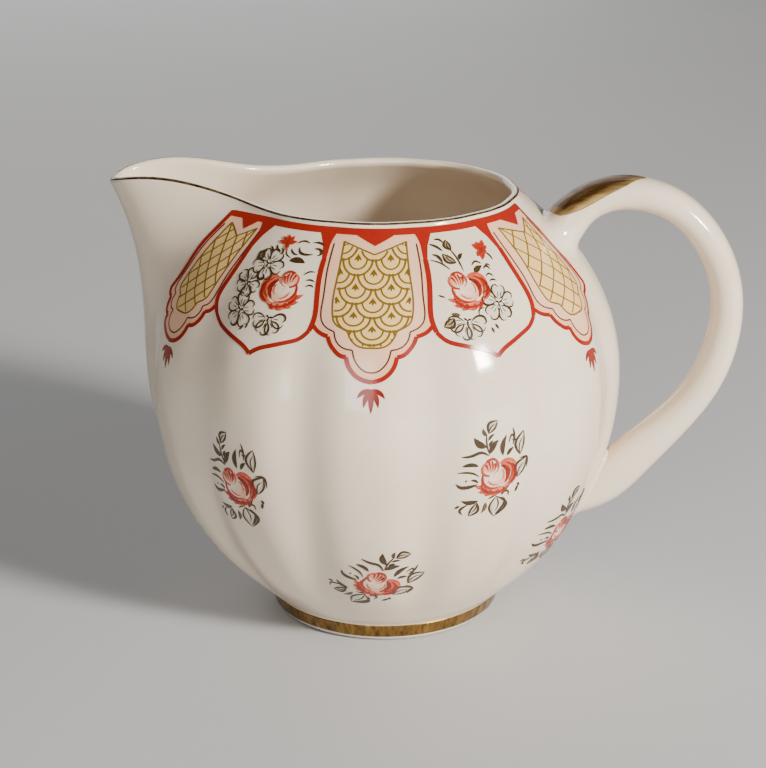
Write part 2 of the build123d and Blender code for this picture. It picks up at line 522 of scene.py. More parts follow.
@dataclass(frozen=True)
class Glaze:
    """Clear feldspar glaze over warm white porcelain, bare at the standing edge of the foot."""

    name: str = "porcelain_glaze"
    white: tuple = tint(238, 222, 199)
    cream: tuple = tint(229, 210, 185)
    bare: tuple = tint(205, 196, 180)
    bare_height: float = 0.6
    roughness: float = 0.07
    roughness_spread: float = 0.07

    def make(self) -> bpy.types.Material:
        """Builds the material.

        Returns:
            The material.
        """
        recipe = Recipe(self.name)
        clouds = recipe.noise(38, 4)
        specks = recipe.noise(900, 2)
        unglazed = (1 - recipe.height() / (self.bare_height * MM)).held()
        share = ((clouds - 0.38) * 2.6 + (specks - 0.5) * 0.25).held()
        colour = recipe.blend(share, self.white, self.cream)
        bare_share = (unglazed * 4).held()
        recipe.set(Base_Color=recipe.blend(bare_share, colour, self.bare), IOR=1.52,
                   Roughness=clouds * self.roughness_spread + self.roughness + bare_share * 0.45)
        recipe.bump(recipe.noise(160, 3) + specks * 0.12, 0.06, 0.0006)
        return recipe.material


@dataclass(frozen=True)
class Gold:
    """Burnished liquid gold, thin and streaked brown where the brush left it thick, and darkened on the lip
    line as a painted dark reflection.
    """

    name: str
    pale: tuple = tint(176, 146, 92)
    deep: tuple = tint(88, 56, 14)
    stretch: tuple[float, float, float] = (1, 1, 1)
    streaks: float = 700.0
    roughness: float = 0.26
    metallic: float = 0.75

    def make(self) -> bpy.types.Material:
        """Builds the material.

        Returns:
            The material.
        """
        recipe = Recipe(self.name)
        streak = recipe.noise(self.streaks, 5, self.stretch)
        share = (recipe.tone() + (streak - 0.5) * 2.4).held()
        recipe.set(Base_Color=recipe.blend(share, self.pale, self.deep), Metallic=self.metallic,
                   Roughness=streak * 0.25 + self.roughness - 0.1)
        recipe.bump(streak, 0.25, 0.0002)
        return recipe.material


@dataclass(frozen=True)
class Enamel:
    """Printed enamel fired under a gloss, with the tone of each brush mark along a row of colours."""

    name: str
    colours: tuple[tuple, ...]
    grain: float = 0.16
    roughness: float = 0.16

    def make(self) -> bpy.types.Material:
        """Builds the material.

        Returns:
            The material.
        """
        recipe = Recipe(self.name)
        grain = recipe.noise(1500, 3)
        share = (recipe.tone() + (grain - 0.5) * self.grain * 2).held()
        last = max(len(self.colours) - 1, 1)
        stops = [(place / last, colour) for place, colour in enumerate(self.colours)]
        recipe.set(Base_Color=recipe.ramp(share, stops), IOR=1.5,
                   Roughness=grain * 0.08 + self.roughness - 0.04)
        recipe.bump(grain, 0.08, 0.0001)
        return recipe.material


# ---- Drawing on the body ----

PANEL_PITCH = 31.0             # degrees
PANEL_ROWS = 7                 # levels in a fit
SUNK = -0.07                   # where a print's underside lies off the glaze, in millimetres
LAYER_STEP = 0.006             # between marks that cross, in millimetres
LEAF_LAYER, VEIN_LAYER = 2, 12
FEWEST_STEPS = 4               # along a brush mark
SHORTEST_STEP = 0.35
NARROW_MARK = 0.9              # narrower marks have no points inside their width
WIDEST_COLUMN = 0.6


def smooth_through(knots: np.ndarray, values: np.ndarray, at: np.ndarray) -> np.ndarray:
    """Reads a natural cubic curve that goes through values at knots.

    Args:
        knots: Rising places.
        values: Values there, as rows.
        at: Where the curve is read.

    Returns:
        One row of values for each place.
    """
    values = np.asarray(values, float)
    gaps = np.diff(knots)
    count = len(knots)
    system, right = np.eye(count), np.zeros_like(values)
    for row in range(1, count - 1):
        system[row, row - 1:row + 2] = gaps[row - 1], 2 * (gaps[row - 1] + gaps[row]), gaps[row]
        right[row] = 6 * ((values[row + 1] - values[row]) / gaps[row]
                          - (values[row] - values[row - 1]) / gaps[row - 1])
    bend = np.linalg.solve(system, right)
    place = np.clip(np.searchsorted(knots, at, side="right") - 1, 0, count - 2)
    gap = gaps[place][:, None]
    before = (at - knots[place])[:, None]
    after = gap - before
    low, high = values[place], values[place + 1]
    low_bend, high_bend = bend[place], bend[place + 1]
    return (low_bend * after ** 3 / (6 * gap) + high_bend * before ** 3 / (6 * gap)
            + (low / gap - low_bend * gap / 6) * after + (high / gap - high_bend * gap / 6) * before)


def drawn(line: Sequence[Point], spacing: float, smooth: bool) -> np.ndarray:
    """Points spaced evenly along a line.

    Args:
        line: Corners, or points that a smooth line goes through.
        spacing: Distance between the points.
        smooth: Whether the line is smooth.

    Returns:
        The points.
    """
    corners = np.asarray(line, float)
    knots = np.concatenate([[0], np.cumsum(np.hypot(*np.diff(corners, axis=0).T))])
    count = max(int(round(knots[-1] / spacing)), FEWEST_STEPS)
    at = np.linspace(0, knots[-1], count + 1)
    if smooth and len(corners) > 2:
        return smooth_through(knots, corners, at)
    if not smooth:
        at = np.unique(np.concatenate([at, knots]))
    return np.stack([np.interp(at, knots, corners[:, axis]) for axis in (0, 1)], -1)


@dataclass(frozen=True)
class Fit:
    """How a panel's paper settled on the body: degrees to its middle and out to its sides, by level."""

    levels: tuple = (58.0, 66.0, 69.0, 73.0, 77.0, 81.0, 87.0)
    middle: tuple = (0.0, 0.0, 0.0, 0.0, 0.0, 0.0, 0.0)
    left: tuple = (15.5, 15.5, 15.5, 15.5, 15.9, 16.6, 17.2)
    right: tuple = (15.5, 15.5, 15.5, 15.5, 15.9, 16.6, 17.2)

    def turned(self, share: np.ndarray, level: np.ndarray) -> np.ndarray:
        """Degrees from the panel's own angle for shares of its half width."""
        left, right = np.interp(level, self.levels, self.left), np.interp(level, self.levels, self.right)
        return np.interp(level, self.levels, self.middle) + share * np.where(share < 0, left, right)

    def swapped(self) -> "Fit":
        """The same fit as a mirror shows it."""
        return Fit(self.levels, tuple(-turn for turn in self.middle), self.right, self.left)


@dataclass(frozen=True)
class Place:
    """A flat drawing field on the body: millimetres right and up from one point of it."""

    angle: float
    level: float
    turn: float = 0.0
    size: float = 1.0
    mirrored: bool = False
    fit: Fit = Fit()

    def on_body(self, flat: np.ndarray) -> tuple[np.ndarray, np.ndarray]:
        """Angles and levels of flat points.

        Args:
            flat: Millimetres right and up.

        Returns:
            Angles in degrees and levels in millimetres.
        """
        side = -1 if self.mirrored else 1
        across, up = side * self.size * flat[..., 0], self.size * flat[..., 1]
        cos, sin = math.cos(math.radians(self.turn)), math.sin(math.radians(self.turn))
        level = FORM.level_after(FORM.climb(self.level) + sin * across + cos * up)
        return self.angle + np.degrees((cos * across - sin * up) / FORM.egg(level)), level

    def flat(self, points: Sequence[Point]) -> np.ndarray:
        """Flat points for pairs of a share of half the panel and a level.

        Args:
            points: Pairs of share and level.

        Returns:
            The flat points.
        """
        pairs = np.asarray(points, float)
        share, level = pairs[..., 0], pairs[..., 1]
        across = np.radians(self.fit.turned(share, level)) * FORM.egg(level)
        return np.stack([across, FORM.climb(level) - FORM.climb(self.level)], -1)

    def moved(self, across: float, up: float, **changes: object) -> "Place":
        """A place at flat millimetres from this one.

        Args:
            across: Millimetres to the right.
            up: Millimetres up.
            changes: Values that the new place has instead.

        Returns:
            The new place.
        """
        angle, level = self.on_body(np.array([across, up], float))
        values = {"turn": self.turn, "size": self.size, "mirrored": self.mirrored, **changes}
        return Place(float(angle), float(level), **values)


class Brush(Enum):
    """How the width of a stroke runs from its start to its end."""

    EVEN = "even"
    FINE = "fine at both ends"
    LEAF = "leaf"
    TAIL = "drawn out to a tail"
    DROP = "round with a fine start"

    def widths(self, share: np.ndarray) -> np.ndarray:
        """Width at each share of the length, where 1 is the whole brush.

        Args:
            share: Share of the length, from 0 to 1.

        Returns:
            The width.
        """
        if self is Brush.FINE:
            return 0.12 + 0.88 * np.sin(np.pi * share) ** 0.7
        if self is Brush.LEAF:
            return 0.04 + 0.96 * np.sin(np.pi * share ** 0.85) ** 0.9
        if self is Brush.TAIL:
            return 0.1 + 0.9 * np.sin(np.pi * np.clip(share * 0.8 + 0.2, 0, 1)) ** 0.8 * (1 - share * 0.4)
        if self is Brush.DROP:
            return 0.1 + 0.9 * np.sin(np.pi * share ** 1.6) ** 0.8
        return np.ones_like(share)


@dataclass
class Print:
    """Brush marks and grounds of one ink, gathered and then made one piece."""

    name: str
    lift: float
    points: list[np.ndarray] = field(default_factory=list)
    tones: list[np.ndarray] = field(default_factory=list)
    faces: list[tuple[int, ...]] = field(default_factory=list)
    count: int = 0

    def sheet(self, place: Place, flat: np.ndarray, tones: np.ndarray, layer: int = 0) -> None:
        """Lays a thin slab on the body.

        Args:
            place: Where its flat points lie.
            flat: A table of flat points.
            tones: The tone of each.
            layer: How many marks lie under it.
        """
        rows, columns = flat.shape[:2]
        angle, level = place.on_body(flat)
        for lift in (self.lift + LAYER_STEP * layer, SUNK):
            self.points.append(FORM.skin(angle, level, lift).reshape(-1, 3))
            self.tones.append(np.broadcast_to(tones, (rows, columns)).ravel())
        start, below = self.count, rows * columns

        def at(row: int, column: int, low: bool = False) -> int:
            """Number of a vertex."""
            return start + row * columns + column + (below if low else 0)

        for row in range(rows - 1):
            for column in range(columns - 1):
                self.faces.append((at(row, column), at(row, column + 1), at(row + 1, column + 1),
                                   at(row + 1, column)))
                self.faces.append((at(row, column, True), at(row + 1, column, True),
                                   at(row + 1, column + 1, True), at(row, column + 1, True)))
            for column, turned in ((0, False), (columns - 1, True)):
                side = (at(row, column), at(row + 1, column), at(row + 1, column, True), at(row, column, True))
                self.faces.append(side[::-1] if turned else side)
        for row, turned in ((0, True), (rows - 1, False)):
            for column in range(columns - 1):
                side = (at(row, column), at(row, column + 1), at(row, column + 1, True), at(row, column, True))
                self.faces.append(side[::-1] if turned else side)
        self.count += 2 * below

    def stroke(self, place: Place, line: Sequence[Point], width: float, tone: float = 0.5,
               end_tone: float | None = None, edge: float = 0.0, brush: Brush = Brush.FINE, layer: int = 0,
               smooth: bool = True) -> None:
        """Draws one brush mark.

        Args:
            place: The drawing field.
            line: Points of its middle line, in flat millimetres.
            width: Its full width.
            tone: Its tone at the start.
            end_tone: Its tone at the end, if that differs.
            edge: Tone added along its edges.
            brush: How its width runs.
            layer: How many marks lie under it.
            smooth: Whether its line is smooth.
        """
        middle = drawn(line, max(SHORTEST_STEP, width * 0.3), smooth)
        run = np.gradient(middle, axis=0)
        aside = unit(np.stack([-run[:, 1], run[:, 0]], -1))
        share = np.linspace(0, 1, len(middle))
        half = width / 2 * brush.widths(share)
        columns = 2 if width < NARROW_MARK else max(3, int(math.ceil(width / WIDEST_COLUMN)) + 1)
        spread = np.linspace(-1, 1, columns)
        flat = middle[:, None] + aside[:, None] * (half[:, None] * spread)[..., None]
        last = tone if end_tone is None else end_tone
        tones = tone + (last - tone) * share[:, None] + edge * spread ** 2
        self.sheet(place, flat, tones, layer)

    def ruled(self, place: Place, first: np.ndarray, second: np.ndarray, columns: int, tone: float,
              end_tone: float | None = None, layer: int = 0) -> None:
        """Fills the space between two lines of as many flat points.

        Args:
            place: The drawing field.
            first: One line.
            second: The other.
            columns: Points from line to line.
            tone: The tone at the first line.
            end_tone: The tone at the second, if that differs.
            layer: How many marks lie under it.
        """
        share = np.linspace(0, 1, columns)
        flat = first[:, None] * (1 - share)[:, None] + second[:, None] * share[:, None]
        last = tone if end_tone is None else end_tone
        self.sheet(place, flat, tone + (last - tone) * share[None], layer)

    def piece(self) -> bpy.types.Object:
        """Makes the gathered marks one mesh piece.

        Returns:
            The piece.
        """
        mesh = bpy.data.meshes.new(self.name)
        mesh.from_pydata((np.concatenate(self.points) * MM).tolist(), [], self.faces)
        tones = mesh.attributes.new("tone", "FLOAT", "POINT")
        tones.data.foreach_set("value", np.concatenate(self.tones).astype(np.float32))
        piece = bpy.data.objects.new(self.name, mesh)
        bpy.context.scene.collection.objects.link(piece)
        turn_outwards(piece, False)
        bpy.ops.object.shade_smooth_by_angle(angle=math.radians(40))
        return piece


# ---- Pieces of the jug ----

@dataclass(frozen=True)
class JugBody:
    """The slip-cast body with its foot ring, as one closed wall of porcelain."""

    columns: int = 360
    outer_rows: int = 120
    inner_rows: int = 66
    floor_share: float = 0.72
    floor_corner: float = 15.0

    def profile(self) -> np.ndarray:
        """Rows of points from the middle of the inside floor over the lip to the middle underneath.

        Returns:
            The points, as rows by columns by 3.
        """
        angle = np.linspace(0, FULL_TURN, self.columns + 1)
        rows = []
        corner = FORM.outline(angle, np.full_like(angle, self.floor_corner),
                              -FORM.inset(np.full_like(angle, self.floor_corner)))
        flat = corner.copy()
        flat[:, 2] = FORM.floor_height
        for share in np.linspace(0, self.floor_share, 9):
            rows.append(flat * [share, share, 1])
        turn = flat * [0.9, 0.9, 1]
        for share in np.linspace(0, 1, 16)[1:-1]:
            start, end = flat * [self.floor_share, self.floor_share, 1], corner
            rows.append(start * (1 - share) ** 2 + 2 * share * (1 - share) * turn + end * share ** 2)
        crest = FORM.lip(angle)
        bead = FORM.inset(crest) / 2
        neck = crest - bead
        for share in np.linspace(0, 1, self.inner_rows):
            level = self.floor_corner + (neck - self.floor_corner) * share
            rows.append(FORM.outline(angle, level, -FORM.inset(level)))
        middle = FORM.outline(angle, neck, -bead)
        outward = unit(FORM.outline(angle, neck) - middle)
        for turned in np.radians(np.linspace(180, 0, 13))[1:-1]:
            rows.append(middle + bead[:, None] * (math.cos(turned) * outward + math.sin(turned) * UP))
        foot = FORM.foot_height + 0.5
        for share in np.linspace(0, 1, self.outer_rows):
            rows.append(FORM.outline(angle, neck + (foot - neck) * share))
        ring = [(FORM.foot_top_radius + 0.08, FORM.foot_height + 0.12),
                (FORM.foot_top_radius - 0.07, FORM.foot_height - 0.3)]
        base, inner = FORM.foot_base_radius, FORM.foot_inner_radius
        ring += [(FORM.foot_top_radius - 0.5, 2.0), (base + 0.1, 0.7), (base - 0.1, 0.25), (base - 0.5, 0.0)]
        ring += [(inner + 0.6, 0.0), (inner + 0.15, 0.2), (inner, 0.6), (inner, FORM.foot_recess - 0.5)]
        ring += [(inner - 0.2, FORM.foot_recess - 0.1), (inner - 0.7, FORM.foot_recess)]
        ring += [(inner * share, FORM.foot_recess) for share in (0.7, 0.4, 0)]
        for radius, level in ring:
            rows.append(np.stack([radius * np.cos(np.radians(angle)), radius * np.sin(np.radians(angle)),
                                  np.full_like(angle, level)], -1))
        return np.array(rows)

    def build(self, glaze: bpy.types.Material) -> None:
        """Makes and dresses the body."""
        piece = wrapped_grid("lobed_body", self.profile())
        finish_piece(piece, glaze, "jug_body")


@dataclass(frozen=True)
class Handle:
    """The pulled strap handle, with the slip worked smooth round both of its roots."""

    line: tuple = ((30.6, 75.0, 9.6), (35.0, 79.9, 8.8), (39.4, 84.9, 7.2), (47.0, 87.8, 6.5),
                   (57.4, 85.4, 6.2),
                   (65.4, 76.9, 6.3), (68.7, 65.0, 6.4), (66.2, 51.8, 6.7), (59.6, 41.4, 7.0),
                   (51.6, 33.0, 8.4),
                   (45.8, 27.2, 8.8), (41.0, 23.6, 6.6), (36.4, 21.6, 5.0))
    width: float = 9.4
    root_width: float = 12.4
    root_share: float = 0.25
    squareness: float = 2.3
    let_in: float = 1.0
    columns: int = 72
    rows: int = 150
    meeting_steps: int = 900

    def strap(self, along: np.ndarray, turn: np.ndarray, lift: float = 0.0) -> np.ndarray:
        """Points on the strap.

        Args:
            along: Place along the line, counted in its points.
            turn: Degrees round the section, from its outer side.
            lift: Distance off the surface.

        Returns:
            Points in millimetres.
        """
        line = np.array(self.line)
        knots = np.arange(len(line), dtype=float)
        flat = np.ravel(along)
        middle = smooth_through(knots, line, flat)
        run = smooth_through(knots, line, flat + 0.01) - smooth_through(knots, line, flat - 0.01)
        run = unit(run[:, :2])
        widening = 1 - smooth_step(0, self.root_share, flat / knots[-1])
        half_width = (self.width + (self.root_width - self.width) * widening) / 2 + lift
        half_thickness = middle[:, 2] / 2 + lift
        across, aside = np.cos(np.radians(np.ravel(turn))), np.sin(np.radians(np.ravel(turn)))
        scale = (np.abs(across) ** self.squareness + np.abs(aside) ** self.squareness) ** (-1 / self.squareness)
        out = half_thickness * across * scale
        points = np.stack([middle[:, 0] - run[:, 1] * out, half_width * aside * scale,
                           middle[:, 1] + run[:, 0] * out], -1)
        return points.reshape(*np.shape(along), 3)

    def clearance(self, points: np.ndarray) -> np.ndarray:
        """Distance of points outside the body's surface.

        Args:
            points: Points in millimetres.

        Returns:
            The distance, which is below 0 inside the body.
        """
        angle = np.degrees(np.arctan2(points[..., 1], points[..., 0]))
        level = points[..., 2]
        slope = (FORM.egg(level + 0.5) - FORM.egg(level - 0.5))
        gap = np.hypot(points[..., 0], points[..., 1]) - FORM.radius(angle, level)
        return gap / np.sqrt(1 + slope * slope)

    def meeting(self, turn: np.ndarray, depth: float, upper: bool) -> np.ndarray:
        """Where each side line of the strap comes within depth of the body at one end.

        Args:
            turn: Degrees round the section, from its outer side.
            depth: The distance from the body.
            upper: Whether it is the upper root.

        Returns:
            Places along the handle's line.
        """
        last = len(self.line) - 1
        reach = np.linspace(last / 2, 0 if upper else last, self.meeting_steps)
        table = (self.meeting_steps, len(turn))
        gaps = self.clearance(self.strap(np.broadcast_to(reach[:, None], table),
                                         np.broadcast_to(turn, table)))
        found = np.argmax(gaps < depth, axis=0)
        before, after = gaps[found - 1, np.arange(len(turn))], gaps[found, np.arange(len(turn))]
        share = (before - depth) / (before - after)
        return reach[found - 1] + (reach[found] - reach[found - 1]) * share

    def build_strap(self) -> bpy.types.Object:
        """Makes the strap, closed inside the body's wall at both ends.

        Returns:
            The piece.
        """
        turn = np.linspace(0, FULL_TURN, self.columns + 1)
        start = self.meeting(turn, -self.let_in, True)
        end = self.meeting(turn, -self.let_in, False)
        share = np.linspace(0, 1, self.rows + 1)[:, None]
        along = start * (1 - share) + end * share
        skin = self.strap(along, np.broadcast_to(turn, along.shape))
        caps = [np.broadcast_to(ring[:-1].mean(0), ring.shape) for ring in (skin[0], skin[-1])]
        return wrapped_grid("strap_handle", np.concatenate([caps[0][None], skin, caps[1][None]]))

    def fillet_width(self, turn: np.ndarray, upper: bool) -> np.ndarray:
        """How far the slip is drawn out round a root, by the side it lies on.

        Args:
            turn: Degrees round the section, from its outer side.
            upper: Whether it is the upper root.

        Returns:
            The width.
        """
        aside = np.sin(np.radians(turn)) ** 2
        inside = (1 - np.cos(np.radians(turn))) / 2
        return 0.9 + 3.4 * aside + 1.6 * inside if upper else 1.3 + 0.5 * aside + 0.5 * (1 - inside)

    def build_slip(self, name: str, upper: bool) -> bpy.types.Object:
        """Makes the hollow fillet of slip round one root, as a closed ring.

        Args:
            name: The piece's name.
            upper: Whether it is the upper root.

        Returns:
            The piece.
        """
        turn = np.linspace(0, FULL_TURN, self.columns * 2 + 1)
        root = self.meeting(turn, 0.0, upper)
        width = self.fillet_width(turn, upper)
        crease = self.strap(root, turn)
        step = 0.01 if upper else -0.01
        speed = np.linalg.norm(self.strap(root + step, turn) - crease, axis=-1) / abs(step)
        high = self.strap(root + np.sign(step) * width / speed, turn, -0.03)
        away = crease - crease[:-1].mean(0)
        angle, level = np.degrees(np.arctan2(crease[:, 1], crease[:, 0])), crease[:, 2]
        normal = unit(FORM.skin(angle, level, 1.0) - FORM.skin(angle, level, 0.0))
        away = unit(away - normal * (away * normal).sum(-1, keepdims=True))
        spread = crease + away * width[:, None]
        low = FORM.skin(np.degrees(np.arctan2(spread[:, 1], spread[:, 0])), spread[:, 2], -0.03)
        buried = crease - normal * 0.7
        rows = [high * (1 - s) ** 2 + 2 * s * (1 - s) * crease + low * s * s for s in np.linspace(0, 1, 15)]
        rows += [(low + buried) / 2 - normal * 0.2, buried, (buried + high) / 2 - normal * 0.25, high]
        return wrapped_grid(name, np.array(rows))

    def build(self, glaze: bpy.types.Material) -> None:
        """Makes and dresses the handle and the slip at its roots.

        Args:
            glaze: The glaze.
        """
        finish_piece(self.build_strap(), glaze, "handle")
        finish_piece(self.build_slip("upper_root_slip", True), glaze, "upper_luting_joint")
        finish_piece(self.build_slip("lower_root_slip", False), glaze, "lower_luting_joint")


def add_tones(piece: bpy.types.Object, tones: np.ndarray) -> None:
    """Paints a tone on each vertex of a piece."""
    painted = piece.data.attributes.new("tone", "FLOAT", "POINT")
    painted.data.foreach_set("value", tones.astype(np.float32))


@dataclass(frozen=True)
class Gilding:
    """The gold: a hair line on the lip, a band round the foot and a leaf on the handle's back."""

    lift: float = 0.05
    line_start: float = 64.0
    line_end: float = 36.0
    band_low: float = 0.9
    leaf_start: float = 1.28
    leaf_end: float = 3.42
    leaf_half_turn: float = 84.0

    def build_line(self) -> bpy.types.Object:
        """Makes the hair line that follows the crest of the lip.

        Returns:
            The piece.
        """
        angle = np.linspace(0, FULL_TURN, 481)
        crest = FORM.lip(angle)
        bead = FORM.inset(crest) / 2
        neck = crest - bead
        middle = FORM.outline(angle, neck, -bead)
        outward = unit(FORM.outline(angle, neck) - middle)
        from_spout = np.abs(angle - HALF_TURN)
        near_tip = np.exp(-((from_spout / 16) ** 2))
        start = self.line_start + 40 * near_tip
        rows = []
        for lift in (self.lift, -self.lift):
            sweep = np.linspace(0, 1, 9) if lift > 0 else np.linspace(1, 0, 3)
            for share in sweep:
                turned = np.radians(start + (self.line_end - start) * share)[:, None]
                reach = (bead + lift)[:, None]
                rows.append(middle + reach * (np.cos(turned) * outward + np.sin(turned) * UP))
        rows.append(rows[0])
        piece = wrapped_grid("lip_gold_line", np.array(rows))
        # Tone 0.72 keeps the lip line near its dark brown: a painted dark reflection of dim surroundings, not
        # the gold's own colour.
        add_tones(piece, np.full(len(piece.data.vertices), 0.72))
        return piece

    def build_band(self) -> bpy.types.Object:
        """Makes the band round the foot.

        Returns:
            The piece.
        """
        angle = np.radians(np.linspace(0, FULL_TURN, 361))
        slope = (FORM.foot_top_radius - FORM.foot_base_radius) / FORM.foot_height
        rows = []
        for lift in (self.lift + 0.03, -0.3):
            sweep = np.linspace(0, 1, 7) if lift > 0 else np.linspace(1, 0, 2)
            for share in sweep:
                level = self.band_low + (FORM.foot_height + 0.15 - self.band_low) * share
                radius = FORM.foot_base_radius + slope * level + lift
                rows.append(np.stack([radius * np.cos(angle), radius * np.sin(angle),
                                      np.full_like(angle, level)], -1))
        rows.append(rows[0])
        piece = wrapped_grid("foot_gold_band", np.array(rows))
        add_tones(piece, np.full(len(piece.data.vertices), 0.42))
        return piece

    def build_leaf(self, handle: Handle) -> bpy.types.Object:
        """Makes the leaf, pale at its edges and brown along its middle.

        Args:
            handle: The handle that the leaf lies on.

        Returns:
            The piece.
        """
        share = np.linspace(0, 1, 73)
        across = np.linspace(-1, 1, 33)
        reach = self.leaf_half_turn * np.sin(np.pi * np.clip(share * 0.86 + 0.1, 0, 1)) ** 0.75
        reach = np.where(share > 0.85, reach * np.sqrt(np.clip((1 - share) / 0.15, 0, 1)), reach)
        reach = np.where(share < 0.1, reach * np.sqrt(np.clip(share / 0.1, 0, 1)), reach)
        reach = np.maximum(reach, 0.4)
        along = np.broadcast_to((self.leaf_start + (self.leaf_end - self.leaf_start) * share)[:, None],
                                (len(share), len(across)))
        turn = reach[:, None] * across
        tops, unders = handle.strap(along, turn, self.lift), handle.strap(along, turn, -self.lift)
        rows = np.concatenate([tops, unders[:, ::-1], tops[:, :1]], 1)
        ends = [np.broadcast_to(rows[end].mean(0), rows[end].shape)[None] for end in (0, -1)]
        piece = wrapped_grid("handle_gold_leaf", np.concatenate([ends[0], rows, ends[1]]))
        places = np.array([vertex.co[:] for vertex in piece.data.vertices]) / MM
        gap = np.min(np.linalg.norm(places[:, None, :] - tops[None, ::3, [0, -1]].reshape(1, -1, 3),
                                    axis=-1), axis=1)
        add_tones(piece, 0.15 + 0.85 * smooth_step(0.1, 2.2, gap))
        return piece

    def build(self, handle: Handle) -> None:
        """Makes and dresses all the gold.

        Args:
            handle: The handle that the leaf lies on.
        """
        # The lip gold's deep colour is a near-black brown for the painted dark reflection on the lip line.
        line = Gold("lip_gold", deep=tint(62, 42, 18), roughness=0.3)
        band = Gold("foot_gold", tint(158, 122, 60), tint(52, 31, 8), (1, 1, 0.22), 900.0, 0.27)
        leaf = Gold("leaf_gold", stretch=(0.25, 2.6, 1.0), streaks=520.0, roughness=0.42, metallic=0.6)
        finish_piece(self.build_line(), line.make(), "rim_gilding")
        finish_piece(self.build_band(), band.make(), "foot_gilding")
        finish_piece(self.build_leaf(handle), leaf.make(), "handle_gilding")


# ---- Printed flowers ----

